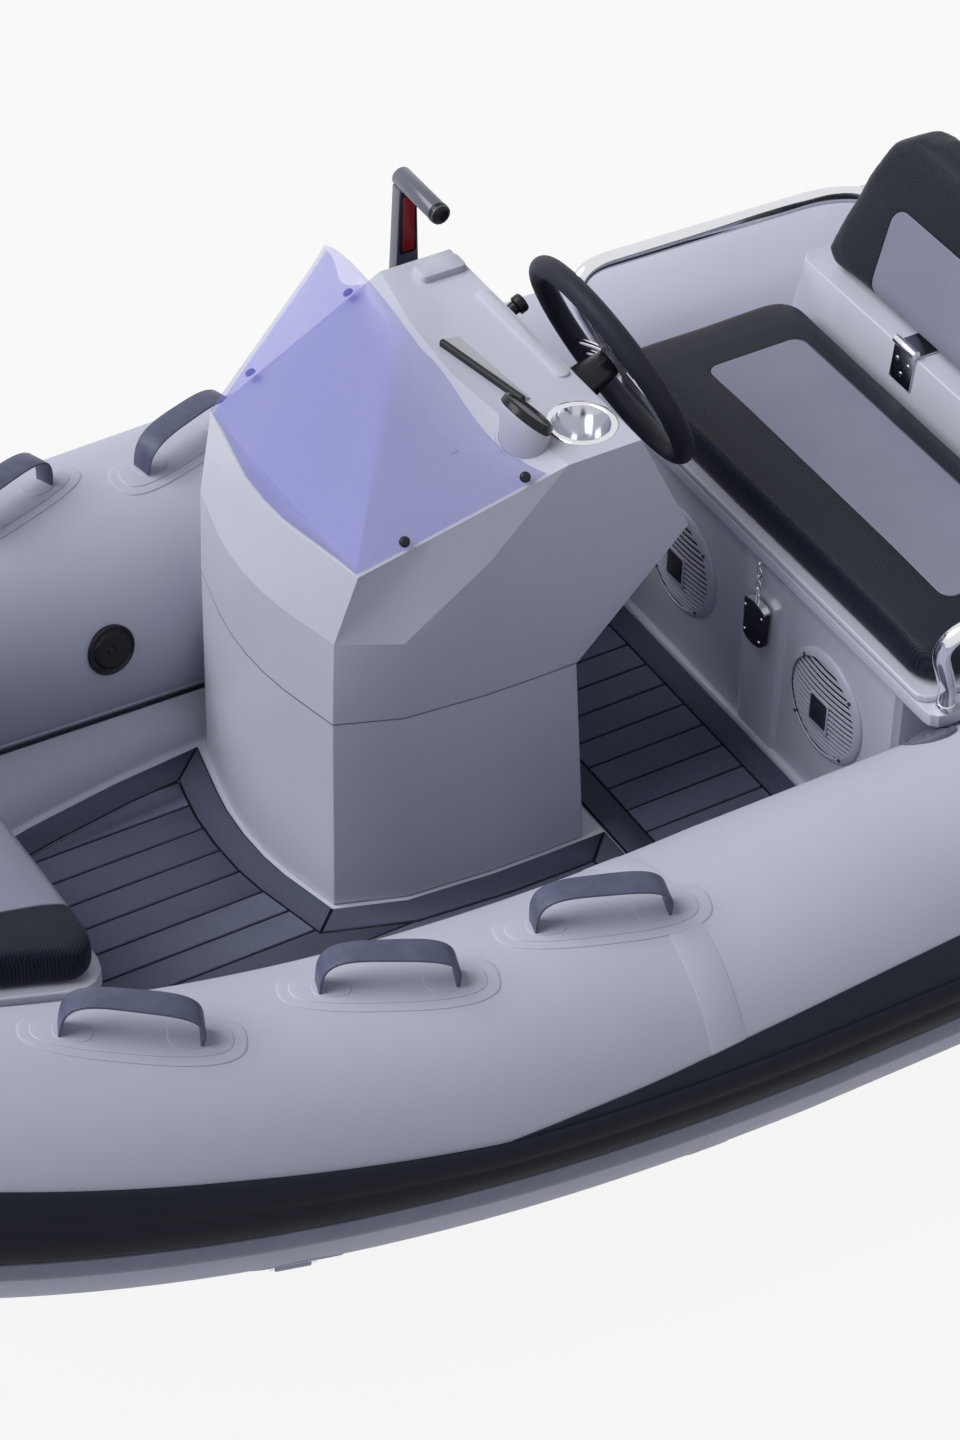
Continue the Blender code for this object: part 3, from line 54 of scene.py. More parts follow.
class Signal:
    """A shader socket that Python sums act on: each operator adds one Math node."""

    def __init__(self, tree, socket=None):
        self.tree = tree
        self.socket = socket

    def node(self, kind, values=(), out=0, **settings):
        """Add a node of a kind: its settings first, then a value or a link for each named socket."""
        made = self.tree.nodes.new(kind)
        for setting, choice in settings.items():
            setattr(made, setting, choice)
        for name, value in dict(values).items():
            if isinstance(value, Signal):
                self.tree.links.new(value.socket, made.inputs[name])
            else:
                made.inputs[name].default_value = value
        return Signal(self.tree, made.outputs[out])

    def math(self, operation, *values):
        return self.node("ShaderNodeMath", enumerate(values), operation=operation)

    def __add__(self, other):
        return self.math("ADD", self, other)

    def __sub__(self, other):
        return self.math("SUBTRACT", self, other)

    def __mul__(self, other):
        return self.math("MULTIPLY", self, other)

    def __truediv__(self, other):
        return self.math("DIVIDE", self, other)

    def __rsub__(self, other):
        return self.math("SUBTRACT", other, self)

    __radd__ = __add__
    __rmul__ = __mul__

    def ease(self, low, high):
        """A smooth step from 0 below low to 1 above high."""
        return self.node("ShaderNodeMapRange", {"Value": self, "From Min": low, "From Max": high},
                         interpolation_type="SMOOTHSTEP")

    def wave(self):
        """The sine of this value."""
        return self.math("SINE", self)

    def top(self, other):
        """The greater of two values."""
        return self.math("MAXIMUM", self, other)

    def least(self, other):
        """The lesser of two values."""
        return self.math("MINIMUM", self, other)

    def size(self):
        """This value without its sign."""
        return self.math("ABSOLUTE", self)

    def root(self):
        """The square root of this value."""
        return self.math("SQRT", self)

    def mix(self, first, second):
        """A colour between two, by this value. Each is a colour or another signal."""
        def rgba(value):
            return value if isinstance(value, Signal) else (*value, 1.0)
        return self.node("ShaderNodeMix", {0: self, 6: rgba(first), 7: rgba(second)}, out=2, data_type="RGBA")


class Finish:
    """A procedural material: constants on the shader's own sockets, and signals for what varies."""

    def __init__(self, name, colour, rough, metal=0.0, **constants):
        self.material = bpy.data.materials.new(name)
        self.material.use_nodes = True
        tree = self.material.node_tree
        self.shader = tree.nodes["Principled BSDF"]
        self.shader.inputs["Base Color"].default_value = (*colour, 1.0)
        self.shader.inputs["Roughness"].default_value = rough
        self.shader.inputs["Metallic"].default_value = metal
        for socket, value in constants.items():
            self.shader.inputs[socket.replace("_", " ")].default_value = value
        self.here = Signal(tree)
        self.place = self.here.node("ShaderNodeTexCoord", out="Object")

    def axes(self):
        """The x, y and z of a place as three signals."""
        split = self.here.node("ShaderNodeSeparateXYZ", {0: self.place})
        return [Signal(split.tree, part) for part in split.socket.node.outputs]

    def noise(self, scale, detail=4.0, rough=0.5, vector=None):
        """Soft random patches, so many to the metre."""
        return self.here.node("ShaderNodeTexNoise", {"Vector": vector or self.place, "Scale": scale,
                                                     "Detail": detail, "Roughness": rough})

    def drive(self, socket, signal):
        """Let a signal set one of the shader's sockets."""
        self.here.tree.links.new(signal.socket, self.shader.inputs[socket])
        return self

    def bump(self, height, depth, strength=1.0):
        """Raise the surface by a height signal, in metres of depth."""
        return self.drive("Normal", self.here.node("ShaderNodeBump", {"Height": height, "Distance": depth,
                                                                     "Strength": strength}))


def closed(shape):
    """Weld what meets, turn the faces out and hand back the mesh."""
    bmesh.ops.remove_doubles(shape, verts=shape.verts, dist=1e-6)
    bmesh.ops.recalc_face_normals(shape, faces=shape.faces)
    mesh = bpy.data.meshes.new("skin")
    shape.to_mesh(mesh)
    shape.free()
    return mesh


def skin(points, around=False, loop=False, ends=False):
    """A grid of points as a surface, with a quad between each point and its next in both directions.
    Around joins the last column to the first, loop joins the last row to the first, ends fills both end rows."""
    points = np.asarray(points, float)
    rows, columns = points.shape[:2]
    index = np.arange(rows * columns).reshape(rows, columns)
    net = np.concatenate([index, index[:, :1]], 1) if around else index
    net = np.concatenate([net, net[:1]], 0) if loop else net
    quads = np.stack([net[:-1, :-1], net[:-1, 1:], net[1:, 1:], net[1:, :-1]], -1).reshape(-1, 4).tolist()
    if ends:
        quads += [index[0, ::-1].tolist(), index[-1].tolist()]
    mesh = bpy.data.meshes.new("skin")
    mesh.from_pydata(points.reshape(-1, 3).tolist(), [], quads)
    shape = bmesh.new()
    shape.from_mesh(mesh)
    bpy.data.meshes.remove(mesh)
    return closed(shape)


floor = bpy.data.objects.new("floor", skin([[(x * FLOOR_REACH, y * FLOOR_REACH, -FLOOR_DROP) for x in (-1, 1)]
                                            for y in (-1, 1)]))
bpy.context.scene.collection.objects.link(floor)
paper = Finish("floor_paper", (0.50, 0.50, 0.52), 0.9)
glow = paper.here.node("ShaderNodeEmission", {"Color": (*WHITE, 1.0), "Strength": 1.0})


def seen_directly(signal):
    """1 for the rays that come from the camera, a mirror or a pane, and 0 for those that light the boat."""
    rays = [signal.node("ShaderNodeLightPath", out=ray) for ray in ("Is Camera Ray", "Is Glossy Ray",
                                                                    "Is Transmission Ray")]
    return rays[0].top(rays[1]).top(rays[2])


lit = paper.here.node("ShaderNodeMixShader", {0: seen_directly(paper.here) * FLOOR_GLOW, 2: glow})
links, output = paper.here.tree.links, paper.here.tree.nodes["Material Output"]
links.new(paper.shader.outputs[0], lit.socket.node.inputs[1])
links.new(lit.socket, output.inputs["Surface"])
floor.data.materials.append(paper.material)
if floor.data.polygons[0].normal.z < 0:
    floor.data.flip_normals()

world = bpy.data.worlds.new("daylight")
bpy.context.scene.world = world
world.use_nodes = True
sky = seen_directly(Signal(world.node_tree)).mix(SKY_COLOUR, WHITE)
world.node_tree.links.new(sky.socket, world.node_tree.nodes["Background"].inputs["Color"])

light = bpy.data.lights.new("soft_sun", "SUN")
light.energy = SUN_STRENGTH
light.angle = SUN_SPREAD
sun = bpy.data.objects.new("soft_sun", light)
sun.matrix_world = Matrix.Translation(SUN_FROM * 4.0) @ SUN_FROM.to_track_quat("Z", "Y").to_matrix().to_4x4()
bpy.context.scene.collection.objects.link(sun)

lens = bpy.data.cameras.new("camera")
lens.sensor_width = 36.0
lens.lens = FOCAL_PIXELS / FRAME_PIXELS * lens.sensor_width
lens.clip_end = 200.0
camera = bpy.data.objects.new("camera", lens)
right = (CAMERA_RIGHT - CAMERA_AHEAD * CAMERA_RIGHT.dot(CAMERA_AHEAD)).normalized()
camera.matrix_world = Matrix.Translation(CAMERA_PLACE) @ Matrix(
    (right, right.cross(CAMERA_AHEAD), -CAMERA_AHEAD)).transposed().to_4x4()
bpy.context.scene.collection.objects.link(camera)
bpy.context.scene.camera = camera
bpy.context.scene.view_settings.view_transform = "Standard"

# The collar: two air tubes of coated cloth that run forward from the stern cones and meet at the nose.
# The cloth is glued from panels, so a flat tape of the same cloth covers each joint.
HALF_TRACK, TUBE_RADIUS, NOSE_TAPER = 0.567, 0.2, 0.037
TUBE_HEIGHT, BOW_RISE, BOW_REACH, BOW_START = 0.43, 0.27, 1.65, -0.1673
BOW_POWER, RISE_POWER = 2.2, 2.3
STERN, CONE, CONE_RADIUS = -1.655, 0.25, 0.1
SIDES = (("port", 1), ("starboard", -1))


def collar_frame(share):
    """The port tube at shares of the bow curve, negative aft of it. Its middle line is a quarter of a
    superellipse of power 2.2 in plan, that climbs as the 2.3rd power of how far forward it is. Returns the
    middle, the outboard and upward directions, and the radius, which shrinks in step with x."""
    share = np.asarray(share, float)

    def middle(s):
        angle = np.clip(s, 0, 1) * np.pi / 2
        along = np.sin(angle) ** (2 / BOW_POWER)
        across = np.maximum(np.cos(angle), 0) ** (2 / BOW_POWER)
        return np.stack([BOW_START + BOW_REACH * (along + np.minimum(s, 0)), HALF_TRACK * across,
                         TUBE_HEIGHT + BOW_RISE * along ** RISE_POWER], -1)
    ahead = middle(share + 1e-4) - middle(share - 1e-4)
    ahead = np.where((share > 1 - 1e-4)[..., None], (0.0, -1.0, 0.0), ahead)
    ahead /= np.linalg.norm(ahead, axis=-1, keepdims=True)
    outward = np.cross((0.0, 0.0, 1.0), ahead)
    outward /= np.linalg.norm(outward, axis=-1, keepdims=True)
    centre = middle(share)
    along = np.clip((centre[..., 0] - BOW_START) / BOW_REACH, 0, 1)
    return centre, outward, np.cross(ahead, outward), TUBE_RADIUS - NOSE_TAPER * along


def share_of(x):
    """The share of the bow curve at a station, the inverse of the curve's x."""
    along = (np.asarray(x, float) - BOW_START) / BOW_REACH
    return np.where(along < 0, along, np.arcsin(np.clip(along, 0, 1) ** (BOW_POWER / 2)) / (np.pi / 2))


def on_collar(share, degrees, lift=0.0, side=1):
    """Points on the collar, lifted off it: the middle, plus the radius and lift along a direction that turns
    by so many degrees up from outboard. The stern cone draws the radius in by a sine."""
    share, degrees, lift = np.broadcast_arrays(*[np.asarray(v, float) for v in (share, degrees, lift)])
    centre, outward, upward, radius = collar_frame(share)
    cone = np.clip((centre[..., 0] - STERN) / CONE, 0, 1)
    radius = radius + lift + (CONE_RADIUS - TUBE_RADIUS) * (1 - np.sin(cone * np.pi / 2))
    angle = np.radians(degrees)
    away = outward * np.cos(angle)[..., None] + upward * np.sin(angle)[..., None]
    return (centre + away * radius[..., None]) * (1, side, 1)


def show(name, mesh, body, finish, slot, *nodes, smooth=40.0):
    """Put a mesh on the boat: it rides on a body and stands for the nodes named."""
    mesh.name = name
    made = bpy.data.objects.new(name, mesh)
    bpy.context.scene.collection.objects.link(made)
    made.data.materials.append(finish.material)
    made.data.shade_smooth()
    made.data.set_sharp_from_angle(angle=math.radians(smooth))
    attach(made, body)
    if nodes:
        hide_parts(*nodes)
    return made


cloth = Finish("coated_cloth", (0.50, 0.51, 0.62), 0.52, Specular_IOR_Level=0.35, Sheen_Weight=0.12,
               Sheen_Roughness=0.5)
x, y, z = cloth.axes()
weave = ((x + y) * 2300.0).wave() * ((z * 1.35 + x - y) * 2300.0).wave()
mottle = cloth.noise(2.2, 5.0)
grime = cloth.noise(18.0, 6.0, 0.65)
cloth.drive("Base Color", mottle.ease(0.3, 0.75).mix((0.475, 0.485, 0.60), (0.53, 0.54, 0.645)))
cloth.drive("Roughness", 0.46 + grime * 0.14)
cloth.bump(weave * 0.5 + grime * 0.6, 0.00025, 0.5)

shares = np.concatenate([share_of(np.linspace(STERN, STERN + CONE, 9)), [-0.4, -0.2], np.linspace(0, 1, 90)])
turns = np.linspace(0, 360, 80, endpoint=False)
for word, side in SIDES:
    tube = skin(on_collar(shares[:, None], turns, 0.0, side), around=True, ends=True)
    show(word + "_tube", tube, "boat", cloth, "collar_fabric", word + "_tube_aft", word + "_tube_fwd")


def joined(*meshes):
    """Several meshes as one."""
    shape = bmesh.new()
    for mesh in meshes:
        shape.from_mesh(mesh)
        bpy.data.meshes.remove(mesh)
    mesh = bpy.data.meshes.new("group")
    shape.to_mesh(mesh)
    shape.free()
    return mesh


def tape(first, last, side):
    """A flat ring of cloth round the tube: a thin rectangle in lift against share, turned round the tube."""
    slim = (last - first) * 0.06
    thin, thick = 0.0004, 0.001
    section = [(first, -thin), (first, thin), (first + slim, thick), (last - slim, thick), (last, thin),
               (last, -thin)]
    rows = [on_collar(np.full(turns.shape, share), turns, lift, side) for share, lift in section]
    return skin(rows, around=True, loop=True)


TAPE_STATIONS, NOSE_TAPE = ((-1.43, -1.38), (-0.045, 0.005)), (0.968, 1.0)
for word, side in SIDES:
    rings = [tape(*share_of(stations).tolist(), side) for stations in TAPE_STATIONS]
    show(word + "_joint_tapes", joined(*rings, tape(*NOSE_TAPE, side)), "boat", cloth, "collar_fabric")

# The rubbing strake and the band under it: two rubber extrusions glued round the outside of both tubes in one
# length. The strake widens towards the nose. Aft, a dark cloth panel is glued to the tube above it, and a moulded
# rubber cap closes each stern cone.
STRAKE_FOOT, BAND_TOP, BAND_FOOT, STRAKE_THICK, BAND_THICK = -1.9, -2.2, -13.6, 0.009, 0.007
PANEL_FOOT, PANEL_THICK, CLOTH_SUNK = 15.0, 0.0019, 0.0004
STRAKE_RUN = np.concatenate([share_of(np.linspace(STERN + CONE, BOW_START, 14))[:-1], np.linspace(0, 1, 100)])
STRAKE_SECTION = np.array([(0, -0.05), (0, 0.3), (0.02, 0.7), (0.08, 0.93), (0.3, 1.0), (0.46, 0.97), (0.5, 0.85),
                           (0.54, 0.97), (0.7, 1.0), (0.92, 0.93), (0.98, 0.7), (1, 0.3), (1, -0.05)])
BAND_SECTION = np.array([(0, -0.05), (0, 0.4), (0.05, 0.85), (0.3, 1.0), (0.72, 1.0), (0.9, 0.85), (1, 0.4),
                         (1, -0.05)])


def strake_top(share):
    """How many degrees up the tube the strake reaches, by station."""
    return np.interp(collar_frame(share)[0][..., 0], (0.29, 0.62, 0.905, 1.3), (15.5, 24.0, 30.0, 32.0))


def extrusion(section, top, bottom, thick):
    """A strip round the collar: its section, in shares from the top edge to the bottom one and of the
    thickness, is carried from the port stern round the nose to the starboard stern."""
    degrees = top[:, None] + (bottom - top)[:, None] * section[:, 0]
    port = on_collar(STRAKE_RUN[:, None], degrees, section[:, 1] * thick)
    return skin(np.concatenate([port, (port * (1, -1, 1))[-2::-1]]), around=True, ends=True)


def placed(mesh, place, axis, spin=(0.0, 0.0, 1.0)):
    """Move a mesh's own Z to an axis at a place, with its X as near to spin as it goes."""
    up = Vector(axis).normalized()
    across = Vector(spin) - up * up.dot(Vector(spin))
    across = (across if across.length > 1e-3 else Vector((1, 0, 0)) - up * up.x).normalized()
    turned = Matrix((across, up.cross(across), up)).transposed().to_4x4()
    mesh.transform(Matrix.Translation(Vector(place)) @ turned)
    return mesh


def lathe(profile, sides=48, notch=0.0, count=0):
    """A turned shape: a profile of radius and height spun about Z. Notch draws the radius in by the cube of a
    raised cosine, so many times round."""
    profile = np.array(profile, float)
    angle = np.linspace(0, 2 * np.pi, sides, endpoint=False)
    dent = 1 - notch * (0.5 + 0.5 * np.cos(angle * count)) ** 3 if count else np.ones(sides)
    radius = profile[:, :1] * dent
    height = np.repeat(profile[:, 1:], sides, 1)
    points = np.stack([radius * np.cos(angle), radius * np.sin(angle), height], -1)
    return skin(points, around=True, ends=True)


strake_rubber = Finish("strake_rubber", (0.0125, 0.0145, 0.024), 0.42, Specular_IOR_Level=0.12)
scuff = strake_rubber.noise(26.0, 6.0, 0.7)
strake_rubber.drive("Roughness", 0.36 + scuff * 0.2).bump(scuff, 0.0002)
grey_rubber = Finish("band_rubber", (0.205, 0.215, 0.295), 0.5, Specular_IOR_Level=0.35)
scuff = grey_rubber.noise(22.0, 6.0, 0.7)
grey_rubber.drive("Base Color", scuff.ease(0.35, 0.7).mix((0.185, 0.195, 0.27), (0.225, 0.235, 0.315)))
grey_rubber.drive("Roughness", 0.42 + scuff * 0.18)

ones = np.ones(len(STRAKE_RUN))
show("strake", extrusion(STRAKE_SECTION, strake_top(STRAKE_RUN), ones * STRAKE_FOOT, STRAKE_THICK), "boat",
     strake_rubber, "black_rubber", "rub_strake", smooth=50)
show("strake_band", extrusion(BAND_SECTION, ones * BAND_TOP, ones * BAND_FOOT, BAND_THICK), "boat", grey_rubber,
     "grey_rubber", "rub_band", smooth=50)

for word, side in SIDES:
    cap = lathe(((0.001, 0.0035), (0.086, 0.0035), (0.096, 0.0018), (0.101, -0.004), (0.104, -0.014),
                 (0.001, -0.014)), 96)
    show(word + "_cone_cap", placed(cap, (STERN, HALF_TRACK * side, TUBE_HEIGHT), (-1, 0, 0)), "boat",
         strake_rubber, "black_rubber")

dark_cloth = Finish("panel_cloth", (0.022, 0.026, 0.042), 0.5, Specular_IOR_Level=0.12)
rub = dark_cloth.noise(9.0, 6.0, 0.6)
dark_cloth.drive("Base Color", rub.ease(0.3, 0.8).mix((0.019, 0.022, 0.036), (0.027, 0.031, 0.048)))
dark_cloth.drive("Roughness", 0.44 + rub * 0.14)
stations = np.linspace(0.285, -1.34, 60)
edge = np.interp(-stations, (-0.29, -0.19, -0.09, 0.06, 0.165, 0.28, 0.38, 0.7, 1.1, 1.345),
                 (15.6, 18.9, 21.5, 26.1, 28.3, 30.2, 31.7, 33.5, 29.0, 15.6))
across = np.concatenate([[0.0], np.linspace(0, 1, 9), [1.0]])
lift = np.array([-CLOTH_SUNK] + [PANEL_THICK] * 9 + [-CLOTH_SUNK])
for word, side in SIDES:
    degrees = PANEL_FOOT + (edge[:, None] - PANEL_FOOT) * across
    panel = on_collar(share_of(stations)[:, None], degrees, lift, side)
    show(word + "_dark_panel", skin(panel, around=True, ends=True), "boat", dark_cloth, "collar_fabric")

# The grab handles: a flat moulded rubber strap arches over two nested oval patches of the cloth, which are glued
# to the top of the tube and hold its flat tails. Each stands a little askew on the tube.
HANDLES = ((0.73, 1), (0.385, 2), (0.075, 3))
HANDLE_TURN = math.radians(14.0)
HANDLE_HALF, HANDLE_RISE, STRAP_HALF, STRAP_THICK = 0.09, 0.055, 0.015, 0.004
LOW_PATCH, HIGH_PATCH, TAB_PATCH = (0.146, 0.044, 0.0014), (0.130, 0.032, 0.0026), (0.026, 0.0195, 0.0036)
TAB_OUT, SHARE_STEP = 0.073, 0.001


def length_per_share(share):
    """How many metres of the collar's middle line one share covers, from a small step either way."""
    ahead, astern = collar_frame(share + SHARE_STEP)[0], collar_frame(share - SHARE_STEP)[0]
    return np.linalg.norm(ahead - astern) / (2 * SHARE_STEP)


def on_patch(share, along, across, lift, side, degrees=90.0, turn=0.0):
    """Points beside a place on the collar: so far along it, across it and off it, in metres, after a turn in the
    cloth's own plane. Along becomes share by the curve's length per share there, and across an angle."""
    cosine, sine = math.cos(turn), math.sin(turn)
    along, across = along * cosine + across * sine, across * cosine - along * sine
    radius = collar_frame(share)[3]
    return on_collar(share + along / length_per_share(share), degrees - np.degrees(across / radius), lift, side)


def patch(share, half_long, half_wide, thick, side, degrees=90.0, turn=0.0, power=3.0):
    """A glued patch: rings of a superellipse of some power shrink to its middle, at one thickness but for a
    rounded edge that goes down into the tube."""
    round_about = np.linspace(0, 2 * np.pi, 64, endpoint=False)
    scale = np.array([1.0, 1.0, 0.99, 0.97, 0.8, 0.5, 0.2, 0.01])[:, None]
    lift = np.array([-0.0006, 0.5 * thick, 0.9 * thick, thick, thick, thick, thick, thick])[:, None]
    c, s = np.cos(round_about), np.sin(round_about)
    along = half_long * np.sign(c) * np.abs(c) ** (2 / power) * scale
    across = half_wide * np.sign(s) * np.abs(s) ** (2 / power) * scale
    return skin(on_patch(share, along, across, lift, side, degrees, turn), around=True, ends=True)


strap_rubber = Finish("strap_rubber", (0.093, 0.103, 0.165), 0.42, Specular_IOR_Level=0.25)
x, y, z = strap_rubber.axes()
rib = ((x + y * 0.3) * 900.0).wave()
scuff = strap_rubber.noise(40.0, 5.0, 0.6)
strap_rubber.drive("Base Color", scuff.ease(0.3, 0.75).mix((0.08, 0.09, 0.148), (0.108, 0.118, 0.185)))
strap_rubber.bump(rib * 0.2 + scuff, 0.00025)
turn_arch = np.linspace(0, np.pi, 41)
arch = np.stack([-np.sign(np.cos(turn_arch)) * np.abs(np.cos(turn_arch)) ** 0.55 * (HANDLE_HALF - 0.002),
                 np.sin(turn_arch) ** 0.5 * HANDLE_RISE + 0.0006], 1)
slope = np.gradient(arch, axis=0)
slope /= np.linalg.norm(slope, axis=1, keepdims=True)
ring = np.array([(-1, 0.12), (-0.93, 0.0), (0.93, 0.0), (1, 0.12), (1, 0.88), (0.93, 1.0), (-0.93, 1.0),
                 (-1, 0.88)])
for word, side in SIDES:
    for station, number in HANDLES:
        share = float(share_of(station))
        ahead = TAB_OUT * math.cos(HANDLE_TURN) / length_per_share(share)
        round_by = math.degrees(TAB_OUT * math.sin(HANDLE_TURN) / collar_frame(share)[3])
        tabs = [patch(share + way * ahead, *TAB_PATCH, side, 90.0 + way * round_by, HANDLE_TURN)
                for way in (-1, 1)]
        seat = joined(patch(share, *LOW_PATCH, side, turn=HANDLE_TURN),
                      patch(share, *HIGH_PATCH, side, turn=HANDLE_TURN), *tabs)
        show(f"{word}_handle_patch_{number}", seat, "boat", cloth, "collar_fabric", smooth=30)
        thick = ring[None, :, 1] * STRAP_THICK
        along = arch[:, :1] - slope[:, 1:] * thick
        lift = arch[:, 1:] + slope[:, :1] * thick
        strap = on_patch(share, along, STRAP_HALF * ring[None, :, 0], lift, side, turn=HANDLE_TURN)
        show(f"{word}_handle_strap_{number}", skin(strap, around=True, ends=True), "boat", strap_rubber,
             "webbing", f"{word}_handle_{number}", smooth=50)

# The air valves: one in each chamber of the collar, forward and aft. Each is a plastic cap with a ring of grip
# notches, screwed into a moulded seat that is welded into the cloth.
black_plastic = Finish("black_plastic", (0.012, 0.013, 0.019), 0.22, Specular_IOR_Level=0.25)
black_plastic.drive("Roughness", 0.16 + black_plastic.noise(60.0, 5.0, 0.6) * 0.16)
grey_plastic = Finish("grey_plastic", (0.115, 0.12, 0.17), 0.4)
pebble = grey_plastic.noise(900.0, 2.0)
grey_plastic.drive("Roughness", 0.34 + grey_plastic.noise(30.0, 5.0) * 0.16).bump(pebble, 0.0001)


def facing(share, degrees, side):
    """A place on the collar and the direction straight out of it."""
    place = on_collar(share, degrees, 0.0, side)
    out = on_collar(share, degrees, 0.1, side) - place
    return place, out / np.linalg.norm(out)


VALVES = (("fwd", 0.31, 169.0, black_plastic, "black_plastic"),
          ("aft", -0.53, 128.0, grey_plastic, "grey_plastic"))
for word, side in SIDES:
    for place, station, degrees, finish, slot in VALVES:
        spot, out = facing(float(share_of(station)), degrees, side)
        seat = lathe(((0.001, -0.004), (0.038, -0.004), (0.038, 0.0016), (0.0366, 0.0028), (0.034, 0.0028),
                      (0.0325, 0.001), (0.001, 0.001))[::-1], 64)
        cap = lathe(((0.001, 0.0008), (0.006, 0.0008), (0.0072, 0.0026), (0.024, 0.0034), (0.0275, 0.0028),
                     (0.029, 0.0012), (0.029, -0.001), (0.001, -0.001)), 72, 0.07, 9)
        bar = lathe(((0.001, 0.0038), (0.0055, 0.0038), (0.006, 0.003), (0.006, 0.0), (0.001, 0.0)), 32)
        show(f"{word}_valve_cap_{place}", placed(joined(seat, cap, bar), spot, out), "boat", finish, slot,
             f"{word}_valve_{place}")

# The towing rings: a welded steel D under each side of the bow, held by a round patch of the cloth whose loop
# wraps its bar. The CAD's forward chamber has 14 steps, and the ring stands at the one nearest to its station.
RING_STATION, RING_DEGREES, RING_PATCH, RING_PATCH_THICK = 0.48, -54.0, 0.062, 0.0012
CHAMBER_JOINT, CHAMBER_FACETS, LOOP_OUT, LOOP_IN, LOOP_RISE = -0.02, 14, 0.0062, 0.0047, 0.0043
steel = Finish("polished_steel", (0.72, 0.73, 0.77), 0.1, metal=1.0)
smear = steel.noise(14.0, 6.0, 0.7)
steel.drive("Roughness", 0.05 + smear * 0.12)


def dress(node, finish):
    """Give a CAD node another finish in its material slots."""
    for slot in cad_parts[node].material_slots:
        slot.material = finish.material


for word in ("port_dring", "starboard_dring", "bow_eye"):
    dress(word, steel)
split = float(share_of(CHAMBER_JOINT))
facets = split + (1 - split) * np.arange(CHAMBER_FACETS + 1) / CHAMBER_FACETS
ring_share = facets[np.abs(facets - float(share_of(RING_STATION))).argmin()]
half_round = np.radians(np.linspace(-8, 188, 15))
loop_across = np.concatenate([np.cos(half_round) * LOOP_OUT, np.cos(half_round[::-1]) * LOOP_IN])
loop_lift = LOOP_RISE + np.concatenate([np.sin(half_round) * LOOP_OUT, np.sin(half_round[::-1]) * LOOP_IN])
for word, side in SIDES:
    pad = patch(ring_share, RING_PATCH, RING_PATCH, RING_PATCH_THICK, side, RING_DEGREES, power=2.0)
    sleeve = on_patch(ring_share, np.array([-0.022, -0.021, 0.021, 0.022])[:, None], loop_across, loop_lift, side,
                      RING_DEGREES)
    show(word + "_ring_patch", joined(pad, skin(sleeve, around=True, ends=True)), "boat", cloth, "collar_fabric")

# The hull: a moulded bottom of white gelcoat over glass fibre, whose flanks cradle the tubes and are bonded to
# them. Its level keel is a flat strip that sweeps up to the stem.
SADDLE_CLEAR, HULL_WALL, LINER_CLEAR = 0.0016, 0.006, 0.006
HULL_AFT, LIP_DEGREES, CHINE_DEGREES = -1.42, -151.0, -104.0
KEEL_HALF, KEEL_TIP_HALF, KEEL_RISE_START, KEEL_POWER, KEEL_CHINE_SHARE = 0.07, 0.012, 0.45, 3.2, 0.6
NOSE_X = BOW_START + BOW_REACH


def skinned(made, wall, offset=-1.0):
    """Give an open sheet a wall, as a part of its mesh."""
    thick = made.modifiers.new("wall", "SOLIDIFY")
    thick.thickness = wall
    thick.offset = offset
    thick.use_even_offset = True
    return made


def hull_line(shares):
    """The hull's outside from keel to lip at each share: a flat keel strip whose height climbs as the 3.2nd
    power of how far forward it is, the bottom up to the chine, then the saddle round the tube."""
    degrees = np.linspace(CHINE_DEGREES, LIP_DEGREES, 13)
    saddle = on_collar(shares[:, None], degrees, SADDLE_CLEAR)
    chine = saddle[:, 0]
    narrow = np.clip((chine[:, 0] - KEEL_RISE_START) / (NOSE_X - KEEL_RISE_START), 0, 1)
    half = np.minimum(KEEL_HALF + (KEEL_TIP_HALF - KEEL_HALF) * narrow, chine[:, 1] * KEEL_CHINE_SHARE)
    top = float(on_collar(1.0, CHINE_DEGREES, HULL_WALL)[2])
    keel = np.stack([chine[:, 0], half, top * narrow ** KEEL_POWER], 1)
    bottom = keel[:, None] + (chine - keel)[:, None] * np.linspace(0.0, 1, 7)[None, :-1, None]
    return np.concatenate([bottom, saddle], 1)


def gelcoated(name, joint=None):
    """White gelcoat with a faint haze and smudges. Joint makes a signal that is 1 where a dark line shows."""
    finish = Finish(name, (0.56, 0.575, 0.665), 0.3, Specular_IOR_Level=0.4, Coat_Weight=0.2,
                    Coat_Roughness=0.12)
    haze = finish.noise(3.0, 5.0)
    smudge = finish.noise(20.0, 6.0, 0.7)
    white = haze.ease(0.3, 0.75).mix((0.545, 0.56, 0.65), (0.575, 0.59, 0.68))
    finish.drive("Base Color", joint(finish).mix(white, (0.19, 0.195, 0.25)) if joint else white)
    return finish.drive("Roughness", 0.3 + smudge * 0.08)


gelcoat = gelcoated("gelcoat")

STEM_SHARE = 0.9995
half = hull_line(np.concatenate([share_of(np.array([HULL_AFT, -1.0, -0.6])), np.linspace(0, STEM_SHARE, 92)]))
sheet = skin(np.concatenate([(half * (1, -1, 1))[:, ::-1], half], 1))
if sheet.polygons[len(sheet.polygons) // 2].normal.z > 0:
    sheet.flip_normals()
skinned(show("hull", sheet, "boat", gelcoat, "gelcoat", "hull_shell", smooth=30), HULL_WALL)

# The deck liner: the inner moulding of the same gelcoat. It is the floor and the low side walls, and its lip is
# bonded to the hull's lip under the tubes.
FLOOR_Z, LINER_WALL, LINER_INSET = 0.2547, 0.004, 0.006
LINER_FRONT, LINER_NARROW, LINER_ROUND = 1.0, 0.1, 0.008


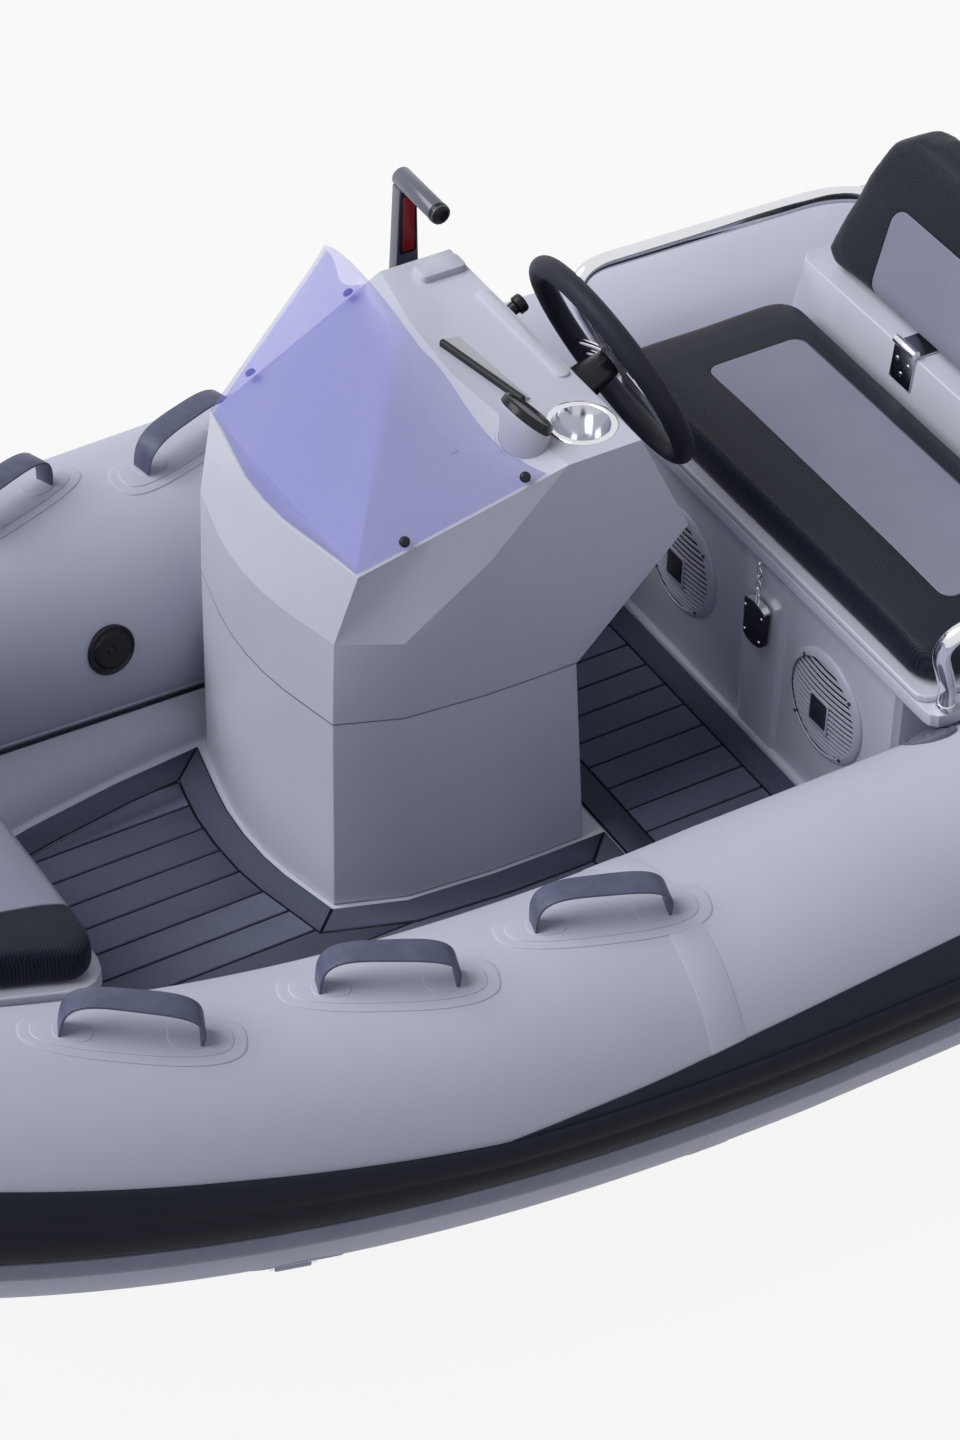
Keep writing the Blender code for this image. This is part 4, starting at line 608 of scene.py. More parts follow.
def lip_at(x):
    """Half width and height of the hull's lip at stations, read off its line along the tube."""
    shares = np.concatenate([share_of(np.array([HULL_AFT])), np.linspace(0, 1, 300)])
    line = on_collar(shares, LIP_DEGREES, SADDLE_CLEAR + HULL_WALL + LINER_CLEAR)
    line = line[:int(line[:, 0].argmax()) + 1]
    return np.interp(x, line[:, 0], line[:, 1]), np.interp(x, line[:, 0], line[:, 2])


def liner_edge(x):
    """Half width of the liner's floor, which narrows by a square law towards the bow."""
    along = np.maximum(x - BOW_START, 0) / (LINER_FRONT - BOW_START)
    return lip_at(x)[0] - LINER_INSET - LINER_NARROW * along ** 2


stations = np.concatenate([[HULL_AFT + 0.0003, -1.0], np.linspace(BOW_START, LINER_FRONT, 60)])
half, height = lip_at(stations)
edge = liner_edge(stations)
corner = np.radians(np.linspace(0, 90, 6))
side_y = np.concatenate([half[:, None], (edge - LINER_ROUND)[:, None] + LINER_ROUND * np.cos(corner)], 1)
side_z = np.concatenate([height[:, None], np.broadcast_to(FLOOR_Z + LINER_ROUND * (1 - np.sin(corner)),
                                                          (len(stations), 6))], 1)
half = np.stack([np.broadcast_to(stations[:, None], side_y.shape), side_y, side_z], -1)
sheet = skin(np.concatenate([half * (1, -1, 1), half[:, ::-1]], 1))
if sheet.polygons[6].normal.z < 0:
    sheet.flip_normals()
skinned(show("liner", sheet, "boat", gelcoat, "gelcoat", "deck_liner", smooth=30), LINER_WALL)

# The transom: a flat moulded board of gelcoat over plywood across the stern, bonded to the hull. A plastic drain
# plug with grip notches is screwed into it low down.
DRAIN_OUT, DRAIN_Z = 0.0456, 0.1


def cad_shape(*nodes):
    """A merged copy of CAD nodes, with its flat faces whole again."""
    shape = bmesh.new()
    for node in nodes:
        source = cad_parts[node]
        mesh = source.data.copy()
        mesh.transform(source.matrix_world)
        shape.from_mesh(mesh)
        bpy.data.meshes.remove(mesh)
    bmesh.ops.remove_doubles(shape, verts=shape.verts, dist=2e-5)
    bmesh.ops.dissolve_limit(shape, angle_limit=math.radians(0.7), verts=shape.verts, edges=shape.edges,
                             use_dissolve_boundaries=False)
    return shape


def eased(made, width, segments=3, angle=28.0):
    """Round the edges of a moulded or folded piece."""
    edges = made.modifiers.new("edges", "BEVEL")
    edges.width = width
    edges.segments = segments
    edges.limit_method = "ANGLE"
    edges.angle_limit = math.radians(angle)
    edges.harden_normals = True
    return made


def from_cad(name, body, finish, slot, *nodes, width=0.002, segments=2, angle=28.0):
    """A piece with its nodes' own shape and eased edges."""
    made = show(name, closed(cad_shape(*nodes)), body, finish, slot, *nodes, smooth=180)
    return eased(made, width, segments, angle) if width else made


from_cad("transom_board", "boat", gelcoat, "gelcoat", "transom", width=0.004)
plug = lathe(((0.001, 0.0115), (0.007, 0.0115), (0.008, 0.0098), (0.0145, 0.0098), (0.0175, 0.008),
              (0.018, 0.005), (0.018, 0.0), (0.001, 0.0)), 60, 0.06, 8)
show("drain_cap", placed(plug, (HULL_AFT - DRAIN_OUT, 0, DRAIN_Z), (-1, 0, 0)), "boat", black_plastic,
     "black_plastic", "drain_plug")

# The deck pads: closed-cell foam with a brushed face, glued to the liner's floor and milled into planks inside a
# mitred border. Each groove is coloured near black.
PLANK, PLANKS, BORDER, GROOVE_HALF, GROOVE_DEEP, PAD_SHEET = 0.052, 16, 0.046, 0.0024, 0.0022, 0.0024
GROOVE_START = -0.243
CONSOLE_NOTCH = ((-0.1649, 0.091), (-0.25, 0.091), (-0.25, 0.3622))

foam = Finish("deck_foam", (0.125, 0.135, 0.195), 0.78, Specular_IOR_Level=0.12)
x, y, z = foam.axes()
stretched = foam.here.node("ShaderNodeCombineXYZ", {0: x * 60.0, 1: y * 900.0, 2: z * 900.0})
brushed = foam.noise(1.0, 5.0, 0.7, stretched)
worn = foam.noise(6.0, 5.0, 0.6)
foam.drive("Base Color", (brushed * 0.55 + worn * 0.45).ease(0.25, 0.75).mix((0.105, 0.114, 0.168),
                                                                             (0.145, 0.157, 0.222)))
foam.drive("Roughness", 0.7 + brushed * 0.2).bump(brushed, 0.0003, 0.6)
groove_foam = Finish("groove_foam", (0.006, 0.0075, 0.014), 0.85, Specular_IOR_Level=0.15)
border_foam = Finish("border_foam", (0.076, 0.084, 0.126), 0.78, Specular_IOR_Level=0.12)
brushed = border_foam.noise(420.0, 5.0, 0.7)
border_foam.drive("Base Color", brushed.ease(0.25, 0.75).mix((0.068, 0.075, 0.114), (0.085, 0.094, 0.14)))
border_foam.drive("Roughness", 0.7 + brushed * 0.2).bump(brushed, 0.0003, 0.6)


def planked(name, node, first_groove, filled=None):
    """The pad's own outline, inset to a mitred border, its middle cut along the planks. Each part is drawn in
    by half a groove and raised, and the sheet that is left between them is the groove. Filled names two corners
    of the outline with a third point between them, whose triangle the outline lacks."""
    shape = cad_shape(node)
    top = max(vert.co.z for vert in shape.verts)
    others = [face for face in shape.faces
              if face.normal.z < 0.9 or face.calc_center_median().z < top - 0.001]
    bmesh.ops.delete(shape, geom=others, context="FACES")
    for vert in shape.verts:
        vert.co.z = top - GROOVE_DEEP
    bmesh.ops.dissolve_degenerate(shape, dist=0.012, edges=shape.edges[:])
    if filled:
        near = [min(shape.verts, key=lambda vert: (vert.co.xy - Vector(spot)).length) for spot in filled[::2]]
        shape.faces.new((near[0], shape.verts.new((*filled[1], top - GROOVE_DEEP)), near[1]))
        bmesh.ops.recalc_face_normals(shape, faces=shape.faces[:])
        bmesh.ops.dissolve_limit(shape, angle_limit=0.01, verts=shape.verts[:], edges=shape.edges[:])
    rim = bmesh.ops.inset_region(shape, faces=shape.faces[:], thickness=BORDER, use_even_offset=True,
                                 use_boundary=True)["faces"]
    middle = [face for face in shape.faces if face not in set(rim)]
    edge_of = {}
    for face in rim:
        face.material_index = 2
        edge = next(edge for edge in face.edges if edge.is_boundary)
        edge_of[face] = edge.verts[1].co - edge.verts[0].co
    smooth_joints = []
    for edge in shape.edges:
        pair = [edge_of.get(face) for face in edge.link_faces]
        if len(pair) == 2 and all(pair) and abs(pair[0].normalized().dot(pair[1].normalized())) > 0.93:
            smooth_joints.append(edge)
    bmesh.ops.dissolve_edges(shape, edges=smooth_joints, use_verts=False)
    for number in range(PLANKS):
        across = first_groove + PLANK * (number - 3)
        geom = middle + list({edge for face in middle for edge in face.edges}) + list(
            {vert for face in middle for vert in face.verts})
        bmesh.ops.bisect_plane(shape, geom=geom, plane_co=(0, across, 0), plane_no=(0, 1, 0))
        middle = [face for face in shape.faces if face.is_valid and face.material_index == 0]
    parts = shape.faces[:]
    for face in parts:
        face.normal_update()
        if face.normal.z < 0:
            face.normal_flip()
    walls = bmesh.ops.inset_individual(shape, faces=parts, thickness=GROOVE_HALF, use_even_offset=True)
    for face in walls["faces"]:
        face.material_index = 1
    raised = [face for face in shape.faces if face.material_index != 1]
    lift = bmesh.ops.extrude_discrete_faces(shape, faces=raised)["faces"]
    for face in lift:
        for vert in face.verts:
            vert.co.z = top
    mesh = bpy.data.meshes.new(name)
    shape.to_mesh(mesh)
    shape.free()
    made = show(name, mesh, "boat", foam, "deck_foam", node, smooth=30)
    made.data.materials.append(groove_foam.material)
    made.data.materials.append(border_foam.material)
    skinned(made, PAD_SHEET).modifiers["wall"].use_even_offset = False


planked("front_planks", "deck_pad_front", GROOVE_START, CONSOLE_NOTCH)
planked("aft_planks", "deck_pad_aft", GROOVE_START + 0.001)

# The steering console: two thin gelcoat mouldings that meet at a dark joint, a base that tapers up from the deck
# and a faceted cowl that holds the dash. A small housing for the gauge is moulded on the dash.
CONSOLE_Y, CONSOLE_WALL, SEAM_Z, DASH_Z, DASH_HALF = -0.1545, 0.004, 0.588, 0.95, 0.25
CONSOLE_MIDDLE = Vector((-0.1, CONSOLE_Y, 0.62))
RIDGE = ((0.1571, 0.728), (0.0796, 0.7347), (-0.0448, 0.8323), (-0.1745, 0.9322), (-0.16, DASH_Z))


def seam_line(finish):
    """1 within a millimetre of the seam's height, and 0 two millimetres off it."""
    return (finish.axes()[2] - SEAM_Z).size().ease(0.0018, 0.0009)


jointed = gelcoated("console_gelcoat", seam_line)


def outer_skin(name, node, width, angle, ridge=()):
    """The outside of a console moulding, with its edges eased and then its wall given back. The outside is
    every face of the node that looks away from a point inside it. Where its flanks twist, only their ridge is
    an edge, and the last point of that ridge runs out into the corner of the dash."""
    shape = cad_shape(node)
    inside = [face for face in shape.faces if face.normal.dot(face.calc_center_median() - CONSOLE_MIDDLE) < 0]
    bmesh.ops.delete(shape, geom=inside, context="FACES")
    if ridge:
        for spot in shape.verts:
            if abs(spot.co.x - ridge[-2][0]) + abs(spot.co.z - ridge[-2][1]) < 0.002:
                corner = CONSOLE_Y + math.copysign(DASH_HALF, spot.co.y - CONSOLE_Y)
                spot.co = (ridge[-1][0], corner, ridge[-1][1])
        bmesh.ops.remove_doubles(shape, verts=shape.verts, dist=0.0005)
        crisp = shape.edges.layers.float.new("bevel_weight_edge")
        for edge in shape.edges:
            flank = all(abs(face.normal.y) > 0.55 for face in edge.link_faces)
            along = all(any(abs(spot.co.x - x) + abs(spot.co.z - z) < 0.002 for x, z in ridge)
                        for spot in edge.verts)
            edge[crisp] = float(edge.calc_face_angle(0.0) > math.radians(angle) and (along or not flank))
    mesh = bpy.data.meshes.new(name)
    shape.to_mesh(mesh)
    shape.free()
    made = eased(show(name, mesh, "boat", jointed, "gelcoat", node, smooth=180), width, 4, angle)
    made.modifiers["edges"].harden_normals = False
    if ridge:
        made.modifiers["edges"].limit_method = "WEIGHT"
    skinned(made, CONSOLE_WALL)
    level = made.modifiers.new("level", "WEIGHTED_NORMAL")
    level.weight = 100


outer_skin("console_lower", "console_base", 0.006, 30)
outer_skin("console_upper", "console_cowl", 0.0045, 9, RIDGE)
from_cad("gauge_housing", "boat", gelcoat, "gelcoat", "gauge_pod", width=0.003, segments=3, angle=50)

# The windshield: one bent sheet of tinted acrylic, highest in its middle, whose ends sweep back along the cowl.
# It stands on the cowl's rim, and four plastic bolts hold it there.
SHIELD_THICK, BOLTS, BOLT_OUT = 0.005, ((0.064, 0.0544, 0.88), (-0.1025, 0.0792, 0.9408)), (0.13, 0.86, 0.49)
HALF_COLUMNS, HEAD_AFT, HEAD_BULGE, HEAD_HALF, HEAD_LOW, HEAD_RISE = 8, -0.016, 0.036, 0.13, 1.097, 0.073
tint = Finish("tinted_acrylic", (0.21, 0.21, 0.82), 0.03, Specular_IOR_Level=0.4, Alpha=0.235)
tint.drive("Roughness", 0.02 + tint.noise(5.0, 4.0) * 0.03)
shield_foot = np.array([(0.1585, 0.0, 0.8458), (0.156, 0.0515, 0.8458), (0.1463, 0.1027, 0.8458),
                        (0.134, 0.1637, 0.8458), (0.130, 0.2008, 0.8462), (0.065, 0.2113, 0.8695),
                        (0.0, 0.2212, 0.8935), (-0.065, 0.2313, 0.9175), (-0.13, 0.2413, 0.9418)])
share, column = np.meshgrid(np.linspace(0, 1, 15), np.linspace(-HALF_COLUMNS, HALF_COLUMNS, 65), indexing="ij")
reach = np.abs(column) - 0.45 * np.sin(np.pi * share) * (np.abs(column) / HALF_COLUMNS) ** 8
angle = np.pi / (2 * HALF_COLUMNS) * reach
arch = np.cos(angle)
foot = np.stack([np.interp(reach, np.arange(HALF_COLUMNS + 1), shield_foot[:, axis]) for axis in range(3)], 2)
head = np.stack([HEAD_AFT + HEAD_BULGE * arch, HEAD_HALF * np.sin(angle), HEAD_LOW + HEAD_RISE * arch ** 1.2], 2)
sheet = foot + (head - foot) * share[..., None]
sheet[..., 1] = CONSOLE_Y + sheet[..., 1] * np.sign(column)
shield = show("tinted_windshield", skin(sheet), "boat", tint, "acrylic", "windshield", smooth=50)
skinned(shield, SHIELD_THICK, 0.0)
bolts = []
for side in (-1, 1):
    for bolt in BOLTS:
        place = Vector((bolt[0], CONSOLE_Y + (bolt[1] - CONSOLE_Y) * side, bolt[2]))
        outward = Vector((BOLT_OUT[0], BOLT_OUT[1] * side, BOLT_OUT[2])).normalized()
        head = lathe(((0.001, 0.0052), (0.0035, 0.0052), (0.0062, 0.0042), (0.0075, 0.0015), (0.0075, -0.001),
                      (0.001, -0.001)), 32)
        bolts.append(placed(head, place + outward * 0.0022, outward))
show("windshield_bolts", joined(*bolts), "boat", black_plastic, "black_plastic", smooth=50)

# The dash: a steel cup hangs by its rim in a hole, and the gauge sits on its tilted housing, a white dial under a
# black plastic bezel. Two low mouldings and a flat display with a hood are fixed beside them.
CUP_PLACE, GAUGE_PLACE, GAUGE_HALF = (-0.222, 0.026), (-0.142, 0.012), 0.042
GAUGE_TILT, DISPLAY_HOOD = math.radians(43), 0.0079
cup = lathe(((0.001, -0.0878), (0.034, -0.0878), (0.0375, -0.0865), (0.0388, -0.083), (0.0388, 0.0),
             (0.0398, 0.0016), (0.042, 0.0024), (0.0465, 0.0022), (0.0485, 0.0012), (0.049, 0.0003),
             (0.041, 0.0003), (0.041, -0.084), (0.040, -0.088), (0.036, -0.09), (0.001, -0.09)), 96)
show("steel_cup", placed(cup, (*CUP_PLACE, DASH_Z), (0, 0, 1)), "boat", steel, "stainless", "cup_holder")

white_face = Finish("dial_face", (0.50, 0.51, 0.56), 0.35)
GAUGE_OUT = (-math.sin(GAUGE_TILT), 0, math.cos(GAUGE_TILT))
gauge_base = Vector((*GAUGE_PLACE, DASH_Z + GAUGE_HALF * math.sin(GAUGE_TILT) + 0.0003))
gauge_base = gauge_base + Vector(GAUGE_OUT) * 0.0003
bezel = lathe(((0.0345, 0.009), (0.0352, 0.0113), (0.037, 0.012), (0.0385, 0.0112), (0.0398, 0.0085),
               (0.0399, 0.0), (0.001, 0.0), (0.001, 0.006), (0.0345, 0.006))[::-1], 96)
show("gauge_bezel", placed(bezel, gauge_base, GAUGE_OUT, (0, 1, 0)), "boat", black_plastic, "black_plastic",
     "gauge")
face = lathe(((0.001, 0.0068), (0.0343, 0.0068), (0.0343, 0.0062), (0.001, 0.0062)), 72)
show("gauge_face", placed(face, gauge_base, GAUGE_OUT, (0, 1, 0)), "boat", white_face, "white_plastic")


def slab(size, corner, edge, steps=5):
    """A plate with rounded corners and an eased top edge, lying on its own middle: superposed rounded
    rectangles, the last two drawn in by the edge."""
    half_x, half_y, high = size[0] / 2, size[1] / 2, size[2]
    quarter = np.radians(np.linspace(0, 90, steps))
    rows = []
    for inset, height in ((0.0, 0.0), (0.0, high - edge), (edge * 0.3, high - edge * 0.3), (edge, high)):
        ring = []
        for number, (sx, sy) in enumerate(((1, 1), (-1, 1), (-1, -1), (1, -1))):
            turn = quarter + number * np.pi / 2
            ring.append(np.stack([sx * (half_x - corner) + (corner - inset) * np.cos(turn),
                                  sy * (half_y - corner) + (corner - inset) * np.sin(turn),
                                  np.full(steps, height)], 1))
        rows.append(np.concatenate(ring))
    return skin(rows, around=True, ends=True)


rail = slab((0.020, 0.225, 0.0045), 0.009, 0.0022)
rail.transform(Matrix.Translation((-0.2565, -0.183, DASH_Z - 0.0005)))
lip = slab((0.072, 0.034, 0.0115), 0.008, 0.004)
lip.transform(Matrix.Translation((-0.232, -0.365, DASH_Z - 0.0005)))
show("dash_mouldings", joined(rail, lip), "boat", gelcoat, "gelcoat", smooth=40)
start, end = np.array((-0.1442, -0.2138)), np.array((-0.1737, -0.0502))
way = (end - start) / np.linalg.norm(end - start)
back = np.array((-way[1], way[0]))
hood = ((0.0, 0.0), (0.0, 0.008), (0.0015, 0.0095), (0.0065, 0.0095), (0.008, 0.008), (0.008, 0.0))
screen = ((0.0079, 0.0), (0.0079, 0.0072), (0.034, 0.0008), (0.034, 0.0))
for name, section, finish, slot, narrow in (("display_hood", hood, black_plastic, "black_plastic", 1.0),
                                            ("display_screen", screen, white_face, "white_plastic", 0.35)):
    rows = [[(*(spot + back * (DISPLAY_HOOD + (out - DISPLAY_HOOD) * wide)), DASH_Z + up) for out, up in section]
            for spot, wide in ((start, 1.0), (end, narrow))]
    show(name, skin(rows, around=True, ends=True), "boat", finish, slot, smooth=20)

tick_marks = []
for number in range(9):
    angle = math.radians(-130 + number * 32.5)
    tick = slab((0.0012, 0.0055, 0.0004), 0.0003, 0.0001, 3)
    tick.transform(Matrix.Rotation(angle, 4, "Z") @ Matrix.Translation((0, 0.0278, 0.0068)))
    tick_marks.append(tick)
needle = slab((0.0014, 0.026, 0.0006), 0.0006, 0.0002, 3)
needle.transform(Matrix.Rotation(math.radians(-70), 4, "Z") @ Matrix.Translation((0, 0.009, 0.0078)))
cap = lathe(((0.0005, 0.0092), (0.003, 0.0092), (0.0038, 0.0084), (0.0038, 0.0068), (0.0005, 0.0068)), 24)
marks = placed(joined(*tick_marks, needle, cap), gauge_base, GAUGE_OUT, (0, 1, 0))
show("gauge_marks", marks, "boat", black_plastic, "black_plastic")

# The helm: a moulded plastic cover for the steering shaft on the console's aft face, and the wheel. The wheel is
# six steel rods welded into three spokes, with a thick rubber rim moulded round their ends and a plastic hub cap.
WHEEL = Vector((-0.385, CONSOLE_Y, 0.879))
TILT = math.radians(25)
WHEEL_OUT = Vector((-math.cos(TILT), 0, math.sin(TILT)))
WHEEL_UP = Vector((math.sin(TILT), 0, math.cos(TILT)))
WHEEL_RADIUS, RIM_RADIUS = 0.159, 0.0162


def rod(points, radius, sides=12, loop=False, ends=True):
    """A round bar along a route: a ring stands square to the route at each point, carried along it without
    twist. Loop closes it on itself."""
    points = np.asarray(points, float)
    radius = np.broadcast_to(np.asarray(radius, float), len(points))
    before = np.roll(points, 1, 0) if loop else np.concatenate([points[:1], points[:-1]])
    after = np.roll(points, -1, 0) if loop else np.concatenate([points[1:], points[-1:]])
    ahead = after - before
    ahead /= np.linalg.norm(ahead, axis=1, keepdims=True)
    normal = np.cross(ahead[0], (0.3, 0.2, 0.93))
    rows = []
    angle = np.linspace(0, 2 * np.pi, sides, endpoint=False)[:, None]
    for here, way, size in zip(points, ahead, radius):
        normal = normal - way * normal.dot(way)
        normal /= np.linalg.norm(normal)
        rows.append(here + size * (np.cos(angle) * normal + np.sin(angle) * np.cross(way, normal)))
    return skin(rows, around=True, loop=loop, ends=ends and not loop)


from_cad("shaft_cover", "boat", black_plastic, "black_plastic", "helm_plate", width=0.0015, segments=3, angle=20)
grip = Finish("rim_rubber", (0.02, 0.022, 0.034), 0.5, Specular_IOR_Level=0.15)
pebble = grip.noise(520.0, 3.0, 0.5)
grip.drive("Roughness", 0.4 + grip.noise(25.0, 5.0) * 0.2).bump(pebble, 0.0004)
turn = np.linspace(0, 2 * np.pi, 128, endpoint=False)[:, None]
outward = np.cos(turn) * np.array(WHEEL_UP) + np.sin(turn) * np.array((0, 1, 0))
circle = np.array(WHEEL) + WHEEL_RADIUS * outward
show("wheel_grip", rod(circle, RIM_RADIUS, 24, loop=True), "steering_wheel", grip, "black_rubber", "wheel_rim",
     smooth=60)
spokes = []
for side in (-1, 1):
    for degrees in (0, 120, 240):
        turn = math.radians(degrees)
        way = WHEEL_UP * math.cos(turn) + Vector((0, 1, 0)) * math.sin(turn)
        aside = WHEEL_OUT.cross(way).normalized() * 0.0095 * side
        route = [WHEEL + aside + way * reach + WHEEL_OUT * rise for reach, rise in
                 ((0.03, 0.004), (0.07, 0.0035), (0.12, 0.001), (0.15, 0.0))]
        spokes.append(rod(route, 0.0045, 14))
show("wheel_spoke_rods", joined(*spokes), "steering_wheel", steel, "stainless", "wheel_spokes", smooth=60)
hub = lathe(((0.001, 0.0185), (0.022, 0.018), (0.031, 0.0165), (0.0325, 0.0148), (0.034, 0.0148),
             (0.0405, 0.0125), (0.0445, 0.008), (0.045, 0.0), (0.001, 0.0)), 72)
hub = placed(hub, WHEEL + WHEEL_OUT * 0.0033, WHEEL_OUT, (0, 1, 0))
show("wheel_cap", hub, "steering_wheel", black_plastic, "black_plastic", "wheel_hub")

# The controls: a throttle bolted to the console's side, whose painted lever has a red inset in a black frame, and
# the key switch on its small plastic plate.
THROTTLE, LEVER_LENGTH = Vector((-0.238, -0.4732, 0.835)), 0.225
stem = Finish("lever_paint", (0.085, 0.09, 0.135), 0.28, Specular_IOR_Level=0.5, Coat_Weight=0.3)
stem.drive("Roughness", 0.22 + stem.noise(30.0, 5.0) * 0.14)
red = Finish("red_plastic", (0.32, 0.002, 0.011), 0.3, Specular_IOR_Level=0.5)
red.drive("Roughness", 0.26 + red.noise(40.0, 4.0) * 0.12)
from_cad("throttle_housing", "boat", black_plastic, "black_plastic", "throttle_box", width=0.004, segments=4)
from_cad("lever", "throttle", stem, "grey_plastic", "throttle_lever", width=0.0016, segments=3, angle=35)
frame_plate = slab((0.0265, 0.101, 0.0012), 0.004, 0.0004)
red_plate = slab((0.018, 0.09, 0.002), 0.0022, 0.0006)
middle = THROTTLE + Vector((0, 0.01025, LEVER_LENGTH * 0.8 - 0.045))
show("lever_frame", placed(frame_plate, middle, (0, 1, 0), (1, 0, 0)), "throttle", black_plastic,
     "black_plastic")
show("lever_inset", placed(red_plate, middle + Vector((0, 0.0011, 0)), (0, 1, 0), (1, 0, 0)), "throttle", red,
     "red_plastic", "throttle_inset")
end_cap = lathe(((0.001, 0.0035), (0.008, 0.0033), (0.0125, 0.0018), (0.0146, -0.001), (0.0155, -0.004),
                 (0.0155, -0.009), (0.001, -0.009)), 40)
grip_end = THROTTLE + Vector((0, 0.1, LEVER_LENGTH * 0.893))
show("grip_cap", placed(end_cap, grip_end, (0, 1, 0)), "throttle", black_plastic, "black_plastic")
pivot_cap = lathe(((0.001, 0.0035), (0.008, 0.0035), (0.0105, 0.002), (0.011, 0.0), (0.001, 0.0)), 40)
pivot = THROTTLE + Vector((0, -0.0101, 0))
show("pivot_cap", placed(pivot_cap, pivot, (0, -1, 0)), "throttle", black_plastic, "black_plastic")
from_cad("switch_cover", "boat", grey_plastic, "grey_plastic", "switch_plate", width=0.0008, segments=2)
from_cad("key_head", "ignition_key", black_plastic, "black_plastic", "key", width=0.001, segments=3, angle=20)

# The bow seat: a gelcoat locker bonded to the deck, whose hinged lid carries a cushion. The cushion is foam in a
# sewn cover of black ribbed vinyl, with a smooth grey inset that two rows of stitches follow.
PANEL_GREYS = ((0.235, 0.246, 0.325), (0.255, 0.267, 0.35))
RIB_BLACKS, STITCH_BLACK = ((0.006, 0.0075, 0.014), (0.02, 0.0245, 0.04)), (0.004, 0.005, 0.009)
STITCH_ROWS, STITCH_PITCH, RIB_PITCH, VINYL_DEPTH = (0.0045, 0.0105), 0.0062, 0.0045, 0.0011
CUSHION_CAP, CUSHION_SHRINK, CUSHION_PRESSURE, CLOTH_FRAMES, EVENED_TIMES = 0.007, 0.005, 4.0, 20, 60
from_cad("bow_seat_locker", "boat", gelcoat, "gelcoat", "bow_locker", width=0.0015, segments=2)
from_cad("bow_seat_lid", "bow_seat_lid", gelcoat, "gelcoat", "bow_lid", width=0.003, segments=3)


class Panels(Finish):
    """Black ribbed vinyl with a smooth grey panel sewn into it. Heights stay in the piece's own frame, in which
    along and across are the two directions of the panel."""

    def plan(self, along, across, middle, half, corner, behind=None):
        """Draw the panel as a rounded rectangle: the distance outside its edge is the length of what the place
        lies beyond the corner's middle, less the corner. Two rows of stitches follow the edge. Behind is 1 on
        the side that has no panel."""
        beyond_a = (along - middle[0]).size() - (half[0] - corner)
        beyond_b = (across - middle[1]).size() - (half[1] - corner)
        outside_a, outside_b = beyond_a.top(0.0), beyond_b.top(0.0)
        length = (outside_a * outside_a + outside_b * outside_b).root()
        reach = length + beyond_a.top(beyond_b).least(0.0) - corner
        if behind:
            reach = reach + behind
        panel = reach.ease(0.0008, -0.0008)
        seam = 1.0 - reach.size().ease(0.0, 0.0022)
        rows = [(reach - off).size().ease(0.0011, 0.0005) for off in STITCH_ROWS]
        both_rows = rows[0] + rows[1]
        dash = ((along + across) * (2 * math.pi / STITCH_PITCH)).wave().ease(-0.55, -0.2)
        stitches = both_rows * dash
        weave = (along * (2 * math.pi / RIB_PITCH)).wave() * (across * (2 * math.pi / RIB_PITCH)).wave()
        ribs = weave.ease(-0.35, 0.35)
        grain = self.noise(700.0, 3.0)
        cloud = self.noise(8.0, 5.0)
        sheet = panel.mix(ribs.mix(*RIB_BLACKS), cloud.ease(0.3, 0.75).mix(*PANEL_GREYS))
        self.drive("Base Color", stitches.mix(sheet, STITCH_BLACK))
        self.drive("Roughness", panel * 0.12 + cloud * 0.12 + 0.34)
        faces = panel * grain * 0.25 + (1.0 - panel) * ribs * 0.35
        self.bump(faces - seam * 1.6 - both_rows * 0.35 + stitches * 0.5, VINYL_DEPTH)


def vinyl(name):
    """The cover of a cushion, and the x, y and z of a place on it."""
    cover = Panels(name, (0.03, 0.035, 0.055), 0.4, Specular_IOR_Level=0.16)
    return cover, *cover.axes()


